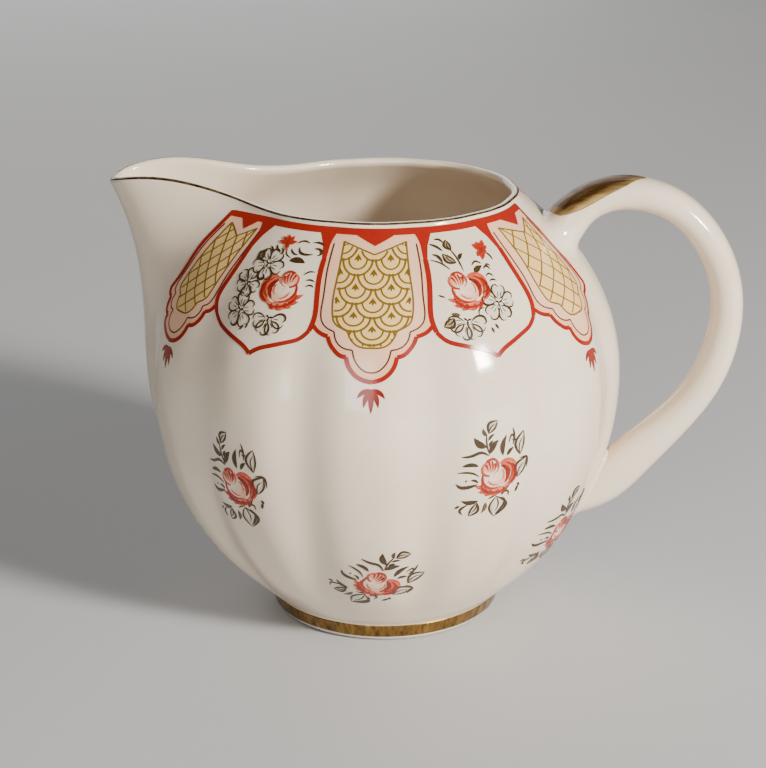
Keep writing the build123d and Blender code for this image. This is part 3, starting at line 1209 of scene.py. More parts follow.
@dataclass
class Motifs:
    """Draws roses, leaves and outlined blossoms with a flower ink and a leaf ink."""

    roses: Print
    leaves: Print
    layer: int = 0

    def petal(self, place: Place, line: Sequence[Point], width: float, tone: float,
              end_tone: float | None = None,
              edge: float = -0.25, brush: Brush = Brush.LEAF) -> None:
        """One rose petal.

        Args:
            place: The drawing field.
            line: Its middle line.
            width: Its full width.
            tone: The tone at its start.
            end_tone: The tone at its end, if that differs.
            edge: Tone added along its edges.
            brush: How its width runs.
        """
        self.layer += 1
        self.roses.stroke(place, line, width, tone, end_tone, edge, brush, self.layer)

    def vein(self, place: Place, line: Sequence[Point], width: float = 0.28, tone: float = 0.08,
             brush: Brush = Brush.FINE) -> None:
        """One fine line in the leaf ink."""
        self.leaves.stroke(place, line, width, tone, None, 0.0, brush, VEIN_LAYER)

    def leaf(self, place: Place, base: Point, tip: Point, width: float, filled: float = 0.1,
             bend: float = 0.12) -> None:
        """One leaf, dark or outlined round a paler middle.

        Args:
            place: The drawing field.
            base: Its foot.
            tip: Its tip.
            width: Its full width.
            filled: The tone of its middle; above 0.4 it gets an outline.
            bend: Share of its length that it bends aside.
        """
        start, end = np.array(base), np.array(tip)
        aside = np.array([-(end - start)[1], (end - start)[0]])
        middle = (start + end) / 2 + aside * bend
        self.leaves.stroke(place, [base, tuple(middle), tip], width, filled, None, -filled * 0.35, Brush.LEAF,
                           LEAF_LAYER)
        if filled > 0.4:
            reach = width / 2 / max(np.linalg.norm(end - start), 0.1)
            for side in (-1, 1):
                bulge = middle + aside * reach * side
                self.vein(place, [base, tuple(bulge), tip], 0.55 if side > 0 else 0.4)
            self.vein(place, [base, tuple(middle), tuple(end * 0.75 + start * 0.25)], 0.3)

    def blossom(self, place: Place, middle: Point, radius: float, petals: int = 5, turn: float = 90.0,
                span: float = 360.0, filled: float = 1.0) -> None:
        """A blossom of outlined petals.

        Args:
            place: The drawing field.
            middle: Its middle, in flat millimetres.
            radius: Its radius.
            petals: How many petals.
            turn: Heading of the first petal, in degrees.
            span: Degrees that the petals share.
            filled: The tone of the petals.
        """
        centre = np.array(middle)
        for count in range(petals):
            heading = math.radians(turn + span * count / petals)
            out = np.array([math.cos(heading), math.sin(heading)])
            aside = np.array([-out[1], out[0]])
            base, tip = centre + out * radius * 0.2, centre + out * radius
            self.leaves.stroke(place, [tuple(base), tuple((base + tip) / 2), tuple(tip)], radius * 0.72, filled,
                               filled - 0.12, -0.1, Brush.DROP, LEAF_LAYER)
            wide = radius * 0.36
            left = [base, base + out * radius * 0.3 + aside * wide,
                    tip - out * radius * 0.12 + aside * wide * 1.05,
                    tip + aside * wide * 0.35, tip - out * radius * 0.12]
            right = [point - 2 * aside * float((point - centre) @ aside) for point in left]
            self.vein(place, [tuple(point) for point in left], 0.5 if count % 2 else 0.38)
            self.vein(place, [tuple(point) for point in right[:4]], 0.34)
            for lean in (-0.35, 0.1):
                self.vein(place, [tuple(centre + out * radius * 0.3 + aside * lean * radius * 0.3),
                                  tuple(centre + out * radius * 0.66 + aside * lean * radius * 0.55)], 0.2, 0.2)
        for turned in (20, 140, 260):
            dot = centre + radius * 0.12 * np.array([math.cos(math.radians(turned)),
                                                     math.sin(math.radians(turned))])
            self.vein(place, [tuple(centre), tuple(dot * 2 - centre)], 0.42, 0.0)

    def star(self, place: Place, middle: Point, tips: Sequence[Point], width: float = 1.0) -> None:
        """A small red flower of pointed petals.

        Args:
            place: The drawing field.
            middle: Its middle, in flat millimetres.
            tips: The tips of its petals.
            width: The width of a petal.
        """
        for tip in tips:
            self.petal(place, [middle, ((middle[0] + tip[0]) / 2 + 0.12, (middle[1] + tip[1]) / 2), tip], width,
                       0.1, 0.26, 0.12)

    def rose(self, place: Place) -> None:
        """An open rose about 8 mm across, with a pale heart and a striped bud.

        Args:
            place: The drawing field.
        """
        self.layer = 2
        for line, width, tone in (
                ([(0.6, 2.8), (2.6, 2.6), (4.0, 1.0), (3.6, -1.2)], 2.2, 0.5),
                ([(3.9, 1.4), (4.3, -0.2), (3.4, -2.0), (2.0, -2.6)], 1.6, 0.42),
                ([(-3.2, -1.0), (-2.6, -2.6), (-0.6, -3.4), (1.8, -3.2), (3.4, -2.0)], 1.9, 0.5),
                ([(-1.8, -1.8), (-3.4, -2.0), (-4.7, -1.5)], 1.0, 0.38),
                ([(-1.6, -2.2), (-2.8, -3.2), (-3.8, -3.0)], 0.9, 0.3),
                ([(-0.8, -2.8), (-1.4, -3.8), (-2.4, -4.2)], 0.9, 0.3),
                ([(0.6, -3.0), (0.4, -4.0), (-0.4, -4.5)], 0.9, 0.36),
                ([(1.8, -2.8), (2.0, -3.6), (1.4, -4.2)], 0.8, 0.3)):
            self.petal(place, line, width, tone - 0.06, tone + 0.16, -0.18)
        self.petal(place, [(-2.6, 0.3), (-1.4, -1.2), (0.6, -1.5), (2.5, -0.6)], 3.2, 0.97, 0.76, -0.06)
        self.petal(place, [(-1.9, 0.9), (0.0, 0.2), (2.1, 0.5)], 3.0, 1.0, 0.84, 0.0)
        for line, width, tone in (
                ([(-2.9, 1.4), (-3.1, -0.4), (-2.2, -2.0), (-0.6, -2.7), (1.2, -2.5)], 0.5, 0.22),
                ([(0.9, 2.3), (2.2, 1.4), (2.7, -0.2), (2.0, -1.9)], 0.8, 0.1),
                ([(1.9, 2.8), (3.4, 1.9), (3.8, 0.2), (3.0, -1.4)], 0.4, 0.2),
                ([(3.6, 2.2), (4.5, 0.6), (4.2, -1.2), (3.0, -2.4)], 0.55, 0.08),
                ([(-3.4, -1.6), (-2.4, -3.0), (-0.4, -3.7), (1.8, -3.4), (3.0, -2.6)], 0.4, 0.16),
                ([(1.2, 1.4), (1.7, 0.2), (1.4, -1.0)], 0.26, 0.4),
                                  ([(-1.9, -0.7), (-0.9, -1.7), (0.5, -2.0)], 0.3, 0.45)):
            self.petal(place, line, width * 1.25, tone - 0.06, tone + 0.06, 0.0, Brush.FINE)
        self.petal(place, [(-1.9, 0.5), (-1.9, 2.0), (-1.4, 3.7)], 3.4, 0.92, 0.62, -0.22, Brush.LEAF)
        for line, width, tone in (
                ([(-1.6, 0.3), (-3.0, 1.0), (-3.2, 2.6), (-2.2, 3.7)], 0.5, 0.22),
                ([(-2.4, 3.6), (-1.0, 4.0), (0.1, 3.0), (0.2, 1.4), (-0.8, 0.5)], 0.55, 0.2),
                ([(-2.7, 3.0), (-2.2, 2.2), (-2.0, 1.2)], 0.5, 0.12),
                                  ([(-2.0, 3.5), (-1.6, 2.4), (-1.6, 1.2)], 0.42, 0.1),
                ([(-1.2, 3.5), (-1.0, 2.4), (-1.2, 1.2)], 0.42, 0.08),
                                  ([(-0.4, 3.0), (-0.4, 2.0), (-0.8, 1.1)], 0.5, 0.12)):
            self.petal(place, line, width, tone - 0.05, tone + 0.32, 0.0, Brush.TAIL)

    def sprig(self, place: Place) -> None:
        """One scattered sprig: a rose in leaves, with a leafy stem and feathered strokes on its left.

        Args:
            place: The drawing field.
        """
        self.rose(resized(place, -0.1, -0.4, 0.93))
        self.vein(place, [(-1.7, 4.2), (-2.3, 6.0), (-2.4, 8.6)], 0.34, 0.14)
        for base, tip, width, filled in (
                ((-2.0, 8.4), (-0.1, 10.7), 1.6, 0.85), ((-2.4, 8.0), (-3.1, 9.6), 0.8, 0.3),
                                         ((-2.4, 5.8), (-4.9, 8.0), 1.3, 0.1),
                ((-2.1, 7.0), (-0.7, 8.2), 0.6, 0.1), ((-1.9, 5.8), (-1.0, 7.0), 0.6, 0.1),
                                         ((-1.6, 4.4), (0.1, 6.9), 1.25, 0.1),
                ((1.1, 3.6), (1.8, 7.6), 1.1, 0.1), ((2.0, 3.4), (3.5, 4.9), 0.8, 0.1),
                                         ((5.0, 3.0), (5.8, 7.6), 2.1, 0.95),
                ((4.6, -1.6), (6.8, 2.0), 2.5, 0.9), ((1.4, -4.8), (3.5, -2.2), 1.2, 0.1),
                                         ((0.3, -4.8), (0.4, -9.4), 3.7, 0.95),
                ((-1.9, -5.8), (-2.5, -8.2), 0.9, 0.3), ((-3.4, -5.2), (-6.8, -4.9), 1.0, 0.1),
                                         ((-3.6, -5.6), (-5.0, -8.4), 1.5, 0.9)):
            self.leaf(place, base, tip, width, filled)
        for line, width in (
                ([(-1.8, 4.0), (-3.6, 4.9), (-5.0, 4.5), (-7.2, 4.3)], 0.62),
                            ([(-3.9, 2.2), (-5.0, 2.6), (-7.0, 2.4)], 0.8),
                ([(-3.6, 0.0), (-4.8, 0.8), (-7.9, 1.1)], 0.42),
                            ([(-3.8, -1.3), (-4.4, -0.7), (-5.3, -0.6)], 0.5),
                ([(-4.0, -1.6), (-5.8, -2.0), (-7.2, -1.9), (-8.0, -1.2)], 0.75),
                            ([(-6.0, -0.7), (-6.3, -0.6)], 0.5),
                ([(2.3, 5.9), (3.1, 7.4), (3.6, 6.2), (2.9, 6.6)], 0.4),
                            ([(3.2, 5.4), (3.5, 7.2), (3.2, 8.8)], 0.42),
                ([(5.1, -3.4), (4.5, -4.8)], 0.62), ([(4.9, -2.9), (5.4, -3.6)], 0.6),
                            ([(1.6, -4.2), (2.8, -4.2), (2.9, -5.2)], 0.4),
                ([(1.5, -5.2), (2.3, -6.2), (1.6, -7.8), (0.5, -9.0)], 0.62),
                            ([(-1.5, -5.1), (0.2, -4.4), (1.3, -3.7)], 0.4),
                ([(-5.4, -5.8), (-6.8, -7.2), (-6.2, -8.0)], 0.5), ([(-6.9, -6.0), (-7.8, -6.5)], 0.5),
                            ([(5.0, 2.2), (6.9, 2.0), (7.0, -0.2)], 0.5)):
            self.vein(place, line, width, 0.1)


def resized(place: Place, across: float, up: float, size: float) -> Place:
    """The same drawing field moved and scaled."""
    return place.moved(across, up, size=place.size * size)


# ---- The collar of printed panels ----

class PanelKind(Enum):
    """What fills a panel of the collar."""

    LATTICE = "lattice"
    SCALES = "scales"
    FLOWERS_WITH_STAR = "flowers with a star"
    FLOWERS_WITH_BLOOM = "flowers with a bloom"


def both_sides(half: Sequence[Point]) -> list[Point]:
    """A left half of panel points and its mirror, from the left edge to the right."""
    right = [(-share, level) for share, level in half if share > 0]
    return right + list(reversed([(share, level) for share, level in half]))


@dataclass(frozen=True)
class Collar:
    """Five printed panels that hang from a red band on one side of the jug."""

    name: str
    node: str
    middle: float
    kinds: tuple = (PanelKind.LATTICE, PanelKind.FLOWERS_WITH_STAR, PanelKind.SCALES,
                    PanelKind.FLOWERS_WITH_BLOOM,
                    PanelKind.LATTICE)
    spout_on_left: bool = True
    base_level: float = 77.0
    band_top: float = 87.0
    band_bottom: float = 86.0
    lobes: tuple = (((1.0, 71.9), (0.95, 71.4), (0.86, 70.8), (0.72, 70.4)),
                    ((0.72, 70.4), (0.67, 69.3), (0.58, 68.2), (0.49, 67.5), (0.39, 67.3)),
                    ((0.39, 67.3), (0.355, 66.0), (0.27, 64.6), (0.14, 63.6), (0.0, 63.2)))
    inner_lobes: tuple = (((0.87, 84.6), (0.885, 80.0), (0.885, 76.0), (0.89, 73.8), (0.85, 72.6), (0.74, 71.7),
                           (0.62, 71.3)),
                          ((0.62, 71.3), (0.58, 70.0), (0.49, 69.0), (0.39, 68.6), (0.30, 68.5)),
                          ((0.30, 68.5), (0.26, 67.0), (0.16, 65.5), (0.07, 64.9), (0.0, 64.8)))
    field_side: tuple = ((0.66, 85.0), (0.67, 79.5), (0.68, 74.0), (0.62, 72.6), (0.49, 71.9), (0.40, 71.5))
    field_foot: tuple = ((0.40, 71.5), (0.34, 70.3), (0.22, 69.2), (0.0, 68.9))
    notch_level: float = 83.2
    shoulder_level: float = 85.0
    shoulder_share: float = 0.66
    scale_pitch: float = 0.636
    scale_rows: int = 10
    scale_row_step: float = 2.16
    scale_top: float = 86.9
    scale_arcs: tuple = ((3.15, 0.4), (1.95, 0.34))
    scale_fan: tuple = ((-0.72, -0.35, 0.4), (0.0, -0.6, 0.44), (0.72, -0.35, 0.4))
    scale_shares_per_mm: float = 1 / 10.9
    scale_flattening: float = 0.77
    lattice_step: float = 0.43
    lattice_lean: float = 2.35 / 17.5
    flower_side: tuple = ((0.72, 86.0), (0.9, 84.0), (0.985, 80.0), (1.0, 76.0), (0.99, 72.6), (0.94, 70.9),
                          (0.8, 69.5), (0.6, 68.7), (0.32, 67.8), (0.13, 67.0), (0.0, 66.0))

    def fit(self, number: int) -> Fit:
        """How one panel settled, with the outer ones drawn in at the spout and at the handle.

        Args:
            number: The panel, counted from the middle one.

        Returns:
            Its fit.
        """
        flower = (15.5, 15.5, 15.5, 15.5, 15.1, 14.4, 13.8)
        by_spout = {-2: Fit(middle=(1.3, 1.3, 2.4, 3.8, 5.3, 6.8, 8.5),
                            left=(15.5, 15.5, 12.0, 9.3, 9.3, 10.3, 9.5),
                            right=(15.5, 15.5, 13.0, 10.1, 9.5, 9.1, 7.8)),
                    -1: Fit(left=(15.5, 15.5, 15.6, 16.9, 16.0, 15.1, 15.0), right=flower),
                    0: Fit(), 1: Fit(left=flower, right=flower),
                    2: Fit(right=(15.5, 15.5, 15.3, 13.2, 10.9, 9.6, 12.0))}
        return by_spout[number] if self.spout_on_left else by_spout[-number].swapped()

    def place(self, number: int) -> Place:
        """The drawing field of one panel, counted from the middle one."""
        return Place(self.middle + number * PANEL_PITCH, self.base_level, fit=self.fit(number))

    def column_ground(self, ink: Print, place: Place, low: Sequence[Point], high: Sequence[Point], tone: float,
                      layer: int, reach: float = 1.0) -> None:
        """Fills the space between a lower and an upper edge, both given from left to right.

        Args:
            ink: The ink it is drawn with.
            place: The drawing field.
            low: The lower edge, as shares and levels.
            high: The upper edge.
            tone: Its tone.
            layer: How many marks lie under it.
            reach: Share of the half panel that it spans.
        """
        low_line, high_line = np.array(low, float), np.array(high, float)
        shares = np.linspace(-reach, reach, 61)
        bottom = np.interp(shares, low_line[:, 0], low_line[:, 1])
        top = np.interp(shares, high_line[:, 0], high_line[:, 1])
        ink.ruled(place, place.flat(np.stack([shares, bottom], -1)),
                  place.flat(np.stack([shares, top], -1)), 18,
                  tone, layer=layer)

    def mirrored_strokes(self, ink: Print, place: Place, half: Sequence[Point], width: float, tone: float,
                         layer: int) -> None:
        """Draws a line and its mirror.

        Args:
            ink: The ink it is drawn with.
            place: The drawing field.
            half: Shares and levels of the right half.
            width: Its full width.
            tone: Its tone.
            layer: How many marks lie under it.
        """
        for side in (-1, 1):
            line = place.flat([(share * side, level) for share, level in half])
            ink.stroke(place, line, width, tone, brush=Brush.EVEN, layer=layer)

    def within(self, share: np.ndarray, level: np.ndarray, margin: float) -> np.ndarray:
        """Which points lie inside the patterned field.

        Args:
            share: Shares of the half panel.
            level: Levels.
            margin: Millimetres kept clear of the edge.

        Returns:
            True inside.
        """
        aside = np.abs(share)
        foot = np.array(self.field_foot + ((0.44, 71.5),))
        foot = foot[np.argsort(foot[:, 0])]
        edge = np.array(self.field_side[::-1])
        bottom = np.where(aside < 0.40, np.interp(aside, foot[:, 0], foot[:, 1]),
                          np.interp(aside, [0.40, 0.49, 0.62, 0.68], [71.5, 71.9, 72.6, 74.0]))
        top = self.notch_level + (self.shoulder_level - self.notch_level) * aside / self.shoulder_share
        side = np.interp(level, edge[:, 1], edge[:, 0])
        return (level > bottom + margin) & (level < top - margin) & (aside < side - margin / 10)

    def clipped(self, ink: Print, place: Place, line: np.ndarray, width: float, tone: float, layer: int,
                brush: Brush = Brush.EVEN) -> None:
        """Draws the stretches of a line that lie inside the patterned field.

        Args:
            ink: The ink it is drawn with.
            place: The panel's field.
            line: Shares and levels, closely spaced.
            width: The line's width.
            tone: Its tone.
            layer: How many marks lie under it.
            brush: How its width runs.
        """
        inside = self.within(line[:, 0], line[:, 1], 0.05)
        run: list[int] = []
        for number in range(len(line) + 1):
            if number < len(line) and inside[number]:
                run.append(number)
                continue
            if len(run) > 3:
                ink.stroke(place, place.flat(line[run]), width, tone, brush=brush, layer=layer, smooth=False)
            run = []

    def scales(self, ink: Print, place: Place) -> None:
        """Fills a field with rows of double-lined fish scales, each with a small fan in it.

        Args:
            ink: The ink it is drawn with.
            place: The drawing field.
        """
        turns, run = np.radians(np.linspace(HALF_TURN, FULL_TURN, 45)), np.linspace(0, 1, 14)
        across_by, rise_by = self.scale_shares_per_mm, self.scale_flattening
        for row in range(self.scale_rows):
            level = self.scale_top - row * self.scale_row_step
            for middle in range(-3, 4):
                share = (middle + (0.0 if row % 2 else 0.5)) * self.scale_pitch
                for radius, width in self.scale_arcs:
                    line = np.stack([share + radius * across_by * np.cos(turns),
                                     level + radius * rise_by * np.sin(turns)], -1)
                    self.clipped(ink, place, line, width, 0.5, 3)
                for across, down, width in self.scale_fan:
                    line = np.stack([share + across * across_by * run ** 1.6,
                                     level + rise_by * (1.0 + (down - 1.0) * run)], -1)
                    self.clipped(ink, place, line, width, 0.3, 4, Brush.DROP)

    def lattice(self, ink: Print, place: Place) -> None:
        """Fills a field with a net of diamonds.

        Args:
            ink: The ink it is drawn with.
            place: The drawing field.
        """
        levels = np.linspace(67.0, 87.0, 110)
        for side in (-1, 1):
            for number in range(-9, 10):
                share = number * self.lattice_step + side * (levels - self.base_level) * self.lattice_lean
                self.clipped(ink, place, np.stack([share, levels], -1), 0.3, 0.45, 3)

    def patterned(self, inks: dict[str, Print], place: Place, kind: PanelKind) -> None:
        """Draws a panel with a scalloped foot, a notch at its top and a patterned field.

        Args:
            inks: The prints, by ink.
            place: The drawing field.
            kind: What fills the panel.
        """
        red, brown, olive, ground = inks["red"], inks["brown"], inks["olive"], inks["ground"]
        foot = both_sides([point for lobe in self.lobes for point in lobe])
        self.column_ground(ground, place, foot, [(-1, 86.1), (1, 86.1)], 0.0, 0, 1.0)
        inner = [point for lobe in self.inner_lobes for point in lobe if point[1] < 73.4]
        inside = [(-0.87, 73.6)] + both_sides(inner)
        self.column_ground(ground, place, inside + [(0.87, 73.6)],
                           [(-0.87, 84.8), (-0.84, 85.6), (-0.42, 85.7), (0, 84.2), (0.42, 85.7), (0.84, 85.6),
                            (0.87, 84.8)],
                           0.4, 1, 0.87)
        field = [point for point in self.field_side if point[1] < 73] + list(self.field_foot)
        low = [(-0.67, 73.2)] + both_sides(field) + [(0.67, 73.2)]
        notch = [(-self.shoulder_share, self.shoulder_level), (0, self.notch_level),
                 (self.shoulder_share, self.shoulder_level)]
        self.column_ground(ground, place, low, notch, 1.0, 2, 0.665)
        for lobe in self.lobes:
            self.mirrored_strokes(red, place, lobe, 0.85, 0.4, 4)
        for lobe in self.inner_lobes:
            self.mirrored_strokes(brown, place, lobe, 0.3, 0.3, 3)
        for part in (self.field_side, self.field_foot):
            self.mirrored_strokes(olive, place, part, 0.34, 0.5, 4)
        for side in (-1, 1):
            line = place.flat([(self.shoulder_share * side, self.shoulder_level),
                               (0.0, self.notch_level)])
            olive.stroke(place, line, 0.34, 0.5, brush=Brush.EVEN, layer=4, smooth=False)
        shares = np.linspace(-0.44, 0.44, 25)
        tip = np.interp(np.abs(shares), [0, 0.44], [84.45, 86.1])
        red.ruled(place, place.flat(np.stack([shares, tip], -1)),
                  place.flat(np.stack([shares, np.full_like(shares, 86.2)], -1)), 6, 0.2, layer=5)
        if kind is PanelKind.SCALES:
            self.scales(olive, place)
        else:
            self.lattice(olive, place)
        for tip_point, width in (((0.0, 57.7), 1.05), ((-0.105, 58.7), 0.95), ((0.105, 58.7), 0.95),
                                 ((-0.20, 60.3), 0.85), ((0.20, 60.3), 0.85)):
            line = place.flat([(tip_point[0] * 0.1, 62.0), (tip_point[0] * 0.75, (61.9 + tip_point[1]) / 2),
                               tip_point])
            red.stroke(place, line, width, 0.4, 0.75, 0.1, Brush.LEAF, 5)

    def flowers(self, inks: dict[str, Print], place: Place, kind: PanelKind) -> None:
        """Draws a white panel with a pointed foot, filled with flowers.

        Args:
            inks: The prints, by ink.
            place: The drawing field.
            kind: What fills the panel.
        """
        red = inks["red"]
        side, foot = ((1.0, 82.2),) + self.flower_side[2:6], self.flower_side[5:]
        for sign in (-1, 1):
            red.stroke(place, place.flat([(s * sign, z) for s, z in side]), 0.98, 0.4,
                       brush=Brush.EVEN, layer=4)
            red.stroke(place, place.flat([(s * sign, z) for s, z in foot]), 0.86, 0.4,
                       brush=Brush.EVEN, layer=5)
            inner = place.flat([(s * sign, z) for s, z in ((0.70, 86.15), (0.8, 85.1), (0.88, 84.2),
                                                           (0.943, 82.4), (0.955, 79.0))])
            outer = place.flat([(s * sign, z) for s, z in ((1.17, 86.15), (1.1, 85.3), (1.06, 84.4),
                                                           (1.05, 82.6), (1.035, 79.0))])
            red.ruled(place, inner, outer, 5, 0.25, layer=3)
        motifs = Motifs(inks["roses"], inks["leaves"])
        if kind is PanelKind.FLOWERS_WITH_BLOOM:
            self.bloom_panel(motifs, resized(place, -2.5, 0.3, 0.93))
        else:
            self.star_panel(motifs, resized(place, 2.8, 0.0, 0.93))

    def bloom_panel(self, motifs: Motifs, rose: Place) -> None:
        """The flowers of the panel with a red bloom and a leafy stem over the rose.

        Args:
            motifs: What draws the flowers.
            rose: The rose's own field.
        """
        motifs.rose(rose)
        above = Place(rose.angle, rose.level, -14.0, rose.size).moved(0.4, 0.9)
        motifs.star(above, (3.6, 8.7), ((1.7, 9.8), (2.6, 10.4), (4.3, 11.0), (5.2, 9.6), (4.9, 7.8),
                                        (3.7, 6.2), (2.6, 7.0)), 1.25)
        motifs.vein(above, [(4.4, 8.2), (5.6, 7.4), (6.2, 6.4)], 0.4)
        motifs.vein(above, [(-0.9, 3.2), (-1.9, 6.0), (-3.6, 8.8)], 0.36)
        for base, tip, width, filled in (((-3.0, 8.0), (-4.0, 10.4), 1.3, 0.55),
                                         ((-1.5, 5.9), (-0.7, 7.6), 0.85, 0.1),
                                         ((-2.2, 5.0), (-4.9, 6.9), 1.5, 0.6),
                                         ((1.5, 2.9), (3.3, 4.9), 1.3, 0.12),
                                         ((-4.4, -5.6), (-6.8, -7.4), 1.6, 0.6),
                                         ((-3.0, -5.0), (-4.8, -4.6), 1.0, 0.3)):
            motifs.leaf(above if tip[1] > 0 else rose, base, tip, width, filled)
        for line, width in (([(-7.4, 8.9), (-6.2, 8.6), (-4.8, 7.6)], 0.62),
                            ([(-6.3, 10.2), (-5.4, 10.4), (-4.4, 9.6)], 0.5),
                            ([(-7.0, 6.4), (-6.2, 6.3), (-5.0, 4.6)], 0.7),
                            ([(-7.6, 5.0), (-5.6, 4.6), (-3.6, 3.2)], 0.4),
                            ([(1.0, 4.7), (1.9, 5.8), (3.2, 5.3)], 0.45),
                            ([(5.0, 3.9), (5.8, 4.5), (6.6, 3.5)], 0.45),
                            ([(4.2, 4.5), (4.4, 5.3), (5.3, 4.9)], 0.4),
                            ([(5.0, 2.2), (5.8, 2.7), (6.8, 1.9)], 0.4),
                            ([(5.4, 1.0), (6.2, 1.3), (7.2, 0.8)], 0.4), ([(3.0, -8.4), (3.4, -9.6)], 0.5),
                            ([(4.0, -7.8), (4.6, -9.0)], 0.5), ([(1.0, -5.6), (1.2, -4.6), (2.6, -4.2)], 0.35),
                            ([(-5.0, -1.2), (-6.4, -0.6)], 0.4)):
            motifs.vein(above if line[0][1] > 4.0 else rose, line, width)
        motifs.blossom(rose, (6.1, -3.8), 3.8, 5, 75.0)
        motifs.blossom(rose, (-1.8, -6.4), 3.9, 4, 190.0, 200.0)

    def star_panel(self, motifs: Motifs, rose: Place) -> None:
        """The flowers of the panel with a red star and scrolls over the rose.

        Args:
            motifs: What draws the flowers.
            rose: The rose's own field.
        """
        motifs.rose(Place(rose.angle, rose.level, 12.0, rose.size, True))
        above = rose.moved(-0.2, 1.3)
        motifs.star(above, (-2.9, 9.3), ((-5.0, 9.5), (-4.4, 10.7), (-3.2, 11.4), (-1.9, 11.2), (-0.9, 10.0),
                                         (-2.6, 7.6)), 1.0)
        motifs.leaf(above, (-0.8, 5.4), (2.8, 5.2), 1.5, 0.05)
        motifs.leaf(rose, (-7.6, 8.2), (-8.8, 5.4), 1.3, 0.5)
        for line, width in (([(-0.8, 9.6), (0.6, 10.4), (2.0, 10.0)], 0.45),
                            ([(2.6, 10.2), (4.0, 10.3), (5.2, 9.6)], 0.5),
                            ([(3.4, 8.8), (4.8, 8.6), (5.2, 7.6), (4.6, 7.2)], 0.6),
                            ([(0.2, 8.8), (0.8, 7.6), (2.2, 7.2), (3.6, 7.4)], 0.6),
                            ([(-1.4, 8.2), (-0.6, 7.2), (0.6, 6.9)], 0.45),
                            ([(-2.4, 8.4), (-2.0, 6.8), (-0.6, 6.0)], 0.3),
                            ([(-5.0, 8.6), (-4.4, 7.4), (-3.6, 7.0)], 0.6),
                            ([(-6.4, 8.0), (-5.6, 7.2), (-5.8, 6.4)], 0.55),
                            ([(-3.6, 8.0), (-3.0, 7.2), (-3.4, 6.4)], 0.5), ([(-7.2, 7.2), (-6.8, 6.4)], 0.45),
                            ([(3.4, 3.8), (4.4, 4.6), (5.6, 4.6)], 0.4),
                            ([(4.2, 2.6), (5.2, 2.8), (6.2, 2.4)], 0.4),
                            ([(4.6, 1.2), (5.6, 1.6), (6.4, 1.2)], 0.4), ([(-6.4, -8.6), (-7.2, -9.8)], 0.5),
                            ([(-5.4, -8.2), (-5.8, -9.2)], 0.45)):
            motifs.vein(above if line[0][1] > 6.0 else rose, line, width)
        motifs.blossom(rose, (-5.4, 5.2), 3.7, 5, 60.0)
        motifs.blossom(rose, (-8.6, 0.2), 3.1, 5, 80.0, 330.0)
        motifs.blossom(rose, (-8.3, -5.8), 3.6, 5, 20.0)
        motifs.blossom(rose, (-0.9, -6.2), 3.6, 4, 200.0, 200.0)
        motifs.vein(rose, [(-7.0, 2.2), (-6.2, 1.4), (-5.2, 1.8), (-5.6, 2.8)], 0.7, 0.0)

    def build(self, enamels: dict[str, bpy.types.Material]) -> None:
        """Prints the collar, one piece for each ink.

        Args:
            enamels: The finishes, by ink.
        """
        inks = {"ground": Print(f"{self.name}_ground", 0.03), "brown": Print(f"{self.name}_inner_line", 0.05),
                "olive": Print(f"{self.name}_pattern", 0.05), "red": Print(f"{self.name}_border", 0.05),
                "leaves": Print(f"{self.name}_leaves", 0.02), "roses": Print(f"{self.name}_flowers", 0.04)}
        for number, kind in enumerate(self.kinds, start=-(len(self.kinds) // 2)):
            if kind in (PanelKind.SCALES, PanelKind.LATTICE):
                self.patterned(inks, self.place(number), kind)
            else:
                self.flowers(inks, self.place(number), kind)
        last = len(self.kinds) // 2
        plain = Fit(left=(HALF_TURN,) * PANEL_ROWS, right=(HALF_TURN,) * PANEL_ROWS)
        middle = Place(self.middle, self.base_level, fit=plain)
        edges = []
        for level in (self.band_bottom, self.band_top):
            ends = []
            for side in (-1, 1):
                edge = self.fit(side * last).turned(np.array(side * 1.0), level)
                ends.append(side * last * PANEL_PITCH + float(edge))
            shares = np.linspace(ends[0], ends[1], 240) / HALF_TURN
            edges.append(middle.flat(np.stack([shares, np.full_like(shares, level)], -1)))
        inks["red"].ruled(middle, edges[0], edges[1], 4, 0.2, layer=6)
        for side in (-1, 1):
            place = self.place(side * last)
            line = [(side * 1.0, level) for level in (71.8, 74.0, 77.0, 80.0, 83.0, 85.0, 86.9)]
            inks["red"].stroke(place, place.flat(line), 0.75, 0.45, brush=Brush.EVEN, layer=5)
        for ink, print_run in inks.items():
            finish_piece(print_run.piece(), enamels[ink], self.node)


@dataclass(frozen=True)
class Sprigs:
    """Four small rose sprigs scattered over one side of the jug."""

    name: str
    node: str
    places: tuple[tuple[float, float, float], ...]

    def build(self, enamels: dict[str, bpy.types.Material]) -> None:
        """Prints the sprigs, one piece for each ink.

        Args:
            enamels: The finishes, by ink.
        """
        roses, leaves = Print(f"{self.name}_roses", 0.04), Print(f"{self.name}_leaves", 0.02)
        for angle, level, turn in self.places:
            Motifs(roses, leaves).sprig(Place(angle, level, turn))
        for ink, print_run in (("sprig_roses", roses), ("leaves", leaves)):
            finish_piece(print_run.piece(), enamels[ink], self.node)


# ---- The studio ----

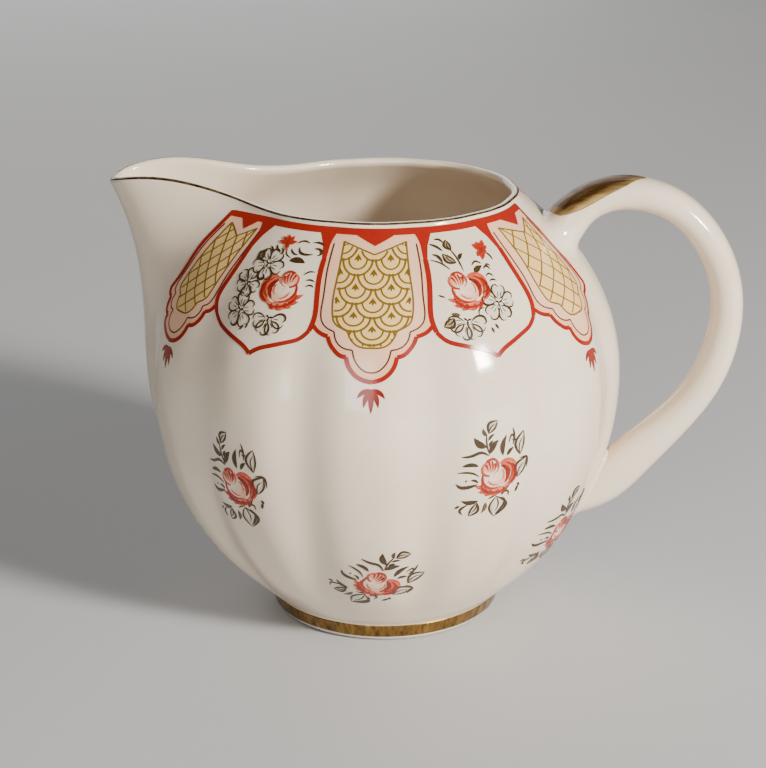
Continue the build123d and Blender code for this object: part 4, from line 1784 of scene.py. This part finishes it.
@dataclass(frozen=True)
class Studio:
    """A pale floor, soft lights and the camera."""

    turn: float = 4.5
    rise: float = 19.68
    distance: float = 0.420
    aim: tuple[float, float, float] = (0, 0, 0.045)
    lens: float = 95.76
    shift: Point = (-1.4 / 768, 8 / 768)
    roll: float = -0.3

    def light(self, name: str, place: tuple[float, float, float], size: float, power: float,
              colour: tuple[float, float, float], stretch: float = 1.0) -> None:
        """Adds a soft light that faces the jug.

        Args:
            name: The light's name.
            place: Where it hangs, in metres.
            size: Its width, in metres.
            power: Its power, in watts.
            colour: Its colour.
            stretch: Its height as a share of its width.
        """
        lamp = bpy.data.lights.new(name, "AREA")
        lamp.shape, lamp.size, lamp.size_y = "RECTANGLE", size, size * stretch
        lamp.energy, lamp.color = power, colour
        holder = bpy.data.objects.new(name, lamp)
        bpy.context.scene.collection.objects.link(holder)
        holder.location = place
        holder.rotation_euler = (Vector(self.aim) - Vector(place)).to_track_quat("-Z", "Y").to_euler()

    def build_floor(self) -> None:
        """Lays the pale floor."""
        bpy.ops.object.select_all(action="DESELECT")
        bpy.ops.mesh.primitive_plane_add(size=8, location=(0, 0, -0.0003))
        floor = bpy.context.object
        floor.name = "pale_floor"
        recipe = Recipe("pale_floor")
        haze = recipe.noise(6, 2)
        recipe.set(Base_Color=recipe.blend(haze, tint(188, 188, 190), tint(196, 196, 197)), Roughness=0.7)
        floor.data.materials.append(recipe.material)

    def build_lights(self) -> None:
        """Hangs the lights and sets the dim air of the studio."""
        self.light("key", (0.74, -0.56, 0.44), 0.16, 21.0, (1.0, 0.965, 0.91))
        self.light("window", (-0.20, -1.15, 0.40), 0.45, 4.5, (1.0, 0.985, 0.96), 1.3)
        self.light("back_fill", (-0.3, 0.95, 0.45), 0.8, 4.0, (1.0, 0.99, 0.97))
        world = bpy.data.worlds.new("studio_air")
        world.use_nodes = True
        backdrop = world.node_tree.nodes["Background"]
        backdrop.inputs[0].default_value = (0.84, 0.83, 0.82, 1)
        backdrop.inputs[1].default_value = 0.12
        bpy.context.scene.world = world

    def build_camera(self) -> None:
        """Sets the camera at its viewing angle."""
        rise, turn = math.radians(self.rise), math.radians(self.turn)
        away = Vector((math.sin(turn) * math.cos(rise), -math.cos(turn) * math.cos(rise), math.sin(rise)))
        view = bpy.data.cameras.new("view")
        view.lens, view.sensor_width, view.clip_start = self.lens, 36.0, 0.01
        view.shift_x, view.shift_y = self.shift
        camera = bpy.data.objects.new("view", view)
        bpy.context.scene.collection.objects.link(camera)
        camera.location = Vector(self.aim) + away * self.distance
        facing = (-away).to_track_quat("-Z", "Y")
        camera.rotation_euler = facing.to_euler()
        camera.rotation_euler.rotate_axis("Z", math.radians(self.roll))
        bpy.context.scene.camera = camera

    def build(self) -> None:
        """Sets up the floor, the lights and the camera."""
        self.build_floor()
        self.build_lights()
        self.build_camera()


def main() -> None:
    """Builds the jug's finished pieces on the frame."""
    logging.basicConfig(level=logging.INFO)
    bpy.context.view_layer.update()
    Studio().build()
    glaze = Glaze().make()
    handle = Handle()
    JugBody().build(glaze)
    handle.build(glaze)
    Gilding().build(handle)
    leaf_tints = (tint(52, 38, 18), tint(84, 64, 38), tint(150, 130, 96), tint(200, 186, 158),
                  tint(228, 217, 196))
    rose_tints = (tint(104, 22, 12), tint(164, 46, 26), tint(208, 96, 68), tint(228, 162, 132),
                  tint(240, 222, 200))
    enamels = {
        "ground": Enamel("peach_and_cream_ground",
                         (tint(241, 182, 146), tint(239, 192, 158), tint(236, 194, 124))).make(),
        "brown": Enamel("brown_line", (tint(74, 38, 26), tint(98, 56, 40))).make(),
        "olive": Enamel("olive_line", (tint(104, 80, 18), tint(128, 100, 30))).make(),
        "red": Enamel("iron_red", (tint(160, 36, 20), tint(142, 30, 20), tint(110, 20, 14))).make(),
        "leaves": Enamel("umber_leaf", leaf_tints).make(),
        "roses": Enamel("coral_rose", rose_tints).make(),
        "sprig_roses": Enamel("rose_of_sprigs", rose_tints).make(),
    }
    Collar("front_collar", "front_collar_transfer", 271.5).build(enamels)
    Collar("back_collar", "back_collar_transfer", 91.5, spout_on_left=False).build(enamels)
    Sprigs("front_sprigs", "front_sprig_transfers",
           ((238.0, 40.0, 8.0), (300.5, 44.0, 0.0), (272.5, 20.0, -38.0), (331.0, 24.5, 0.0))).build(enamels)
    Sprigs("back_sprigs", "back_sprig_transfers",
           ((122.0, 40.0, 0.0), (58.0, 44.0, 6.0), (92.0, 20.0, -30.0), (32.0, 26.0, 0.0))).build(enamels)


if __name__ == "__main__":
    main()
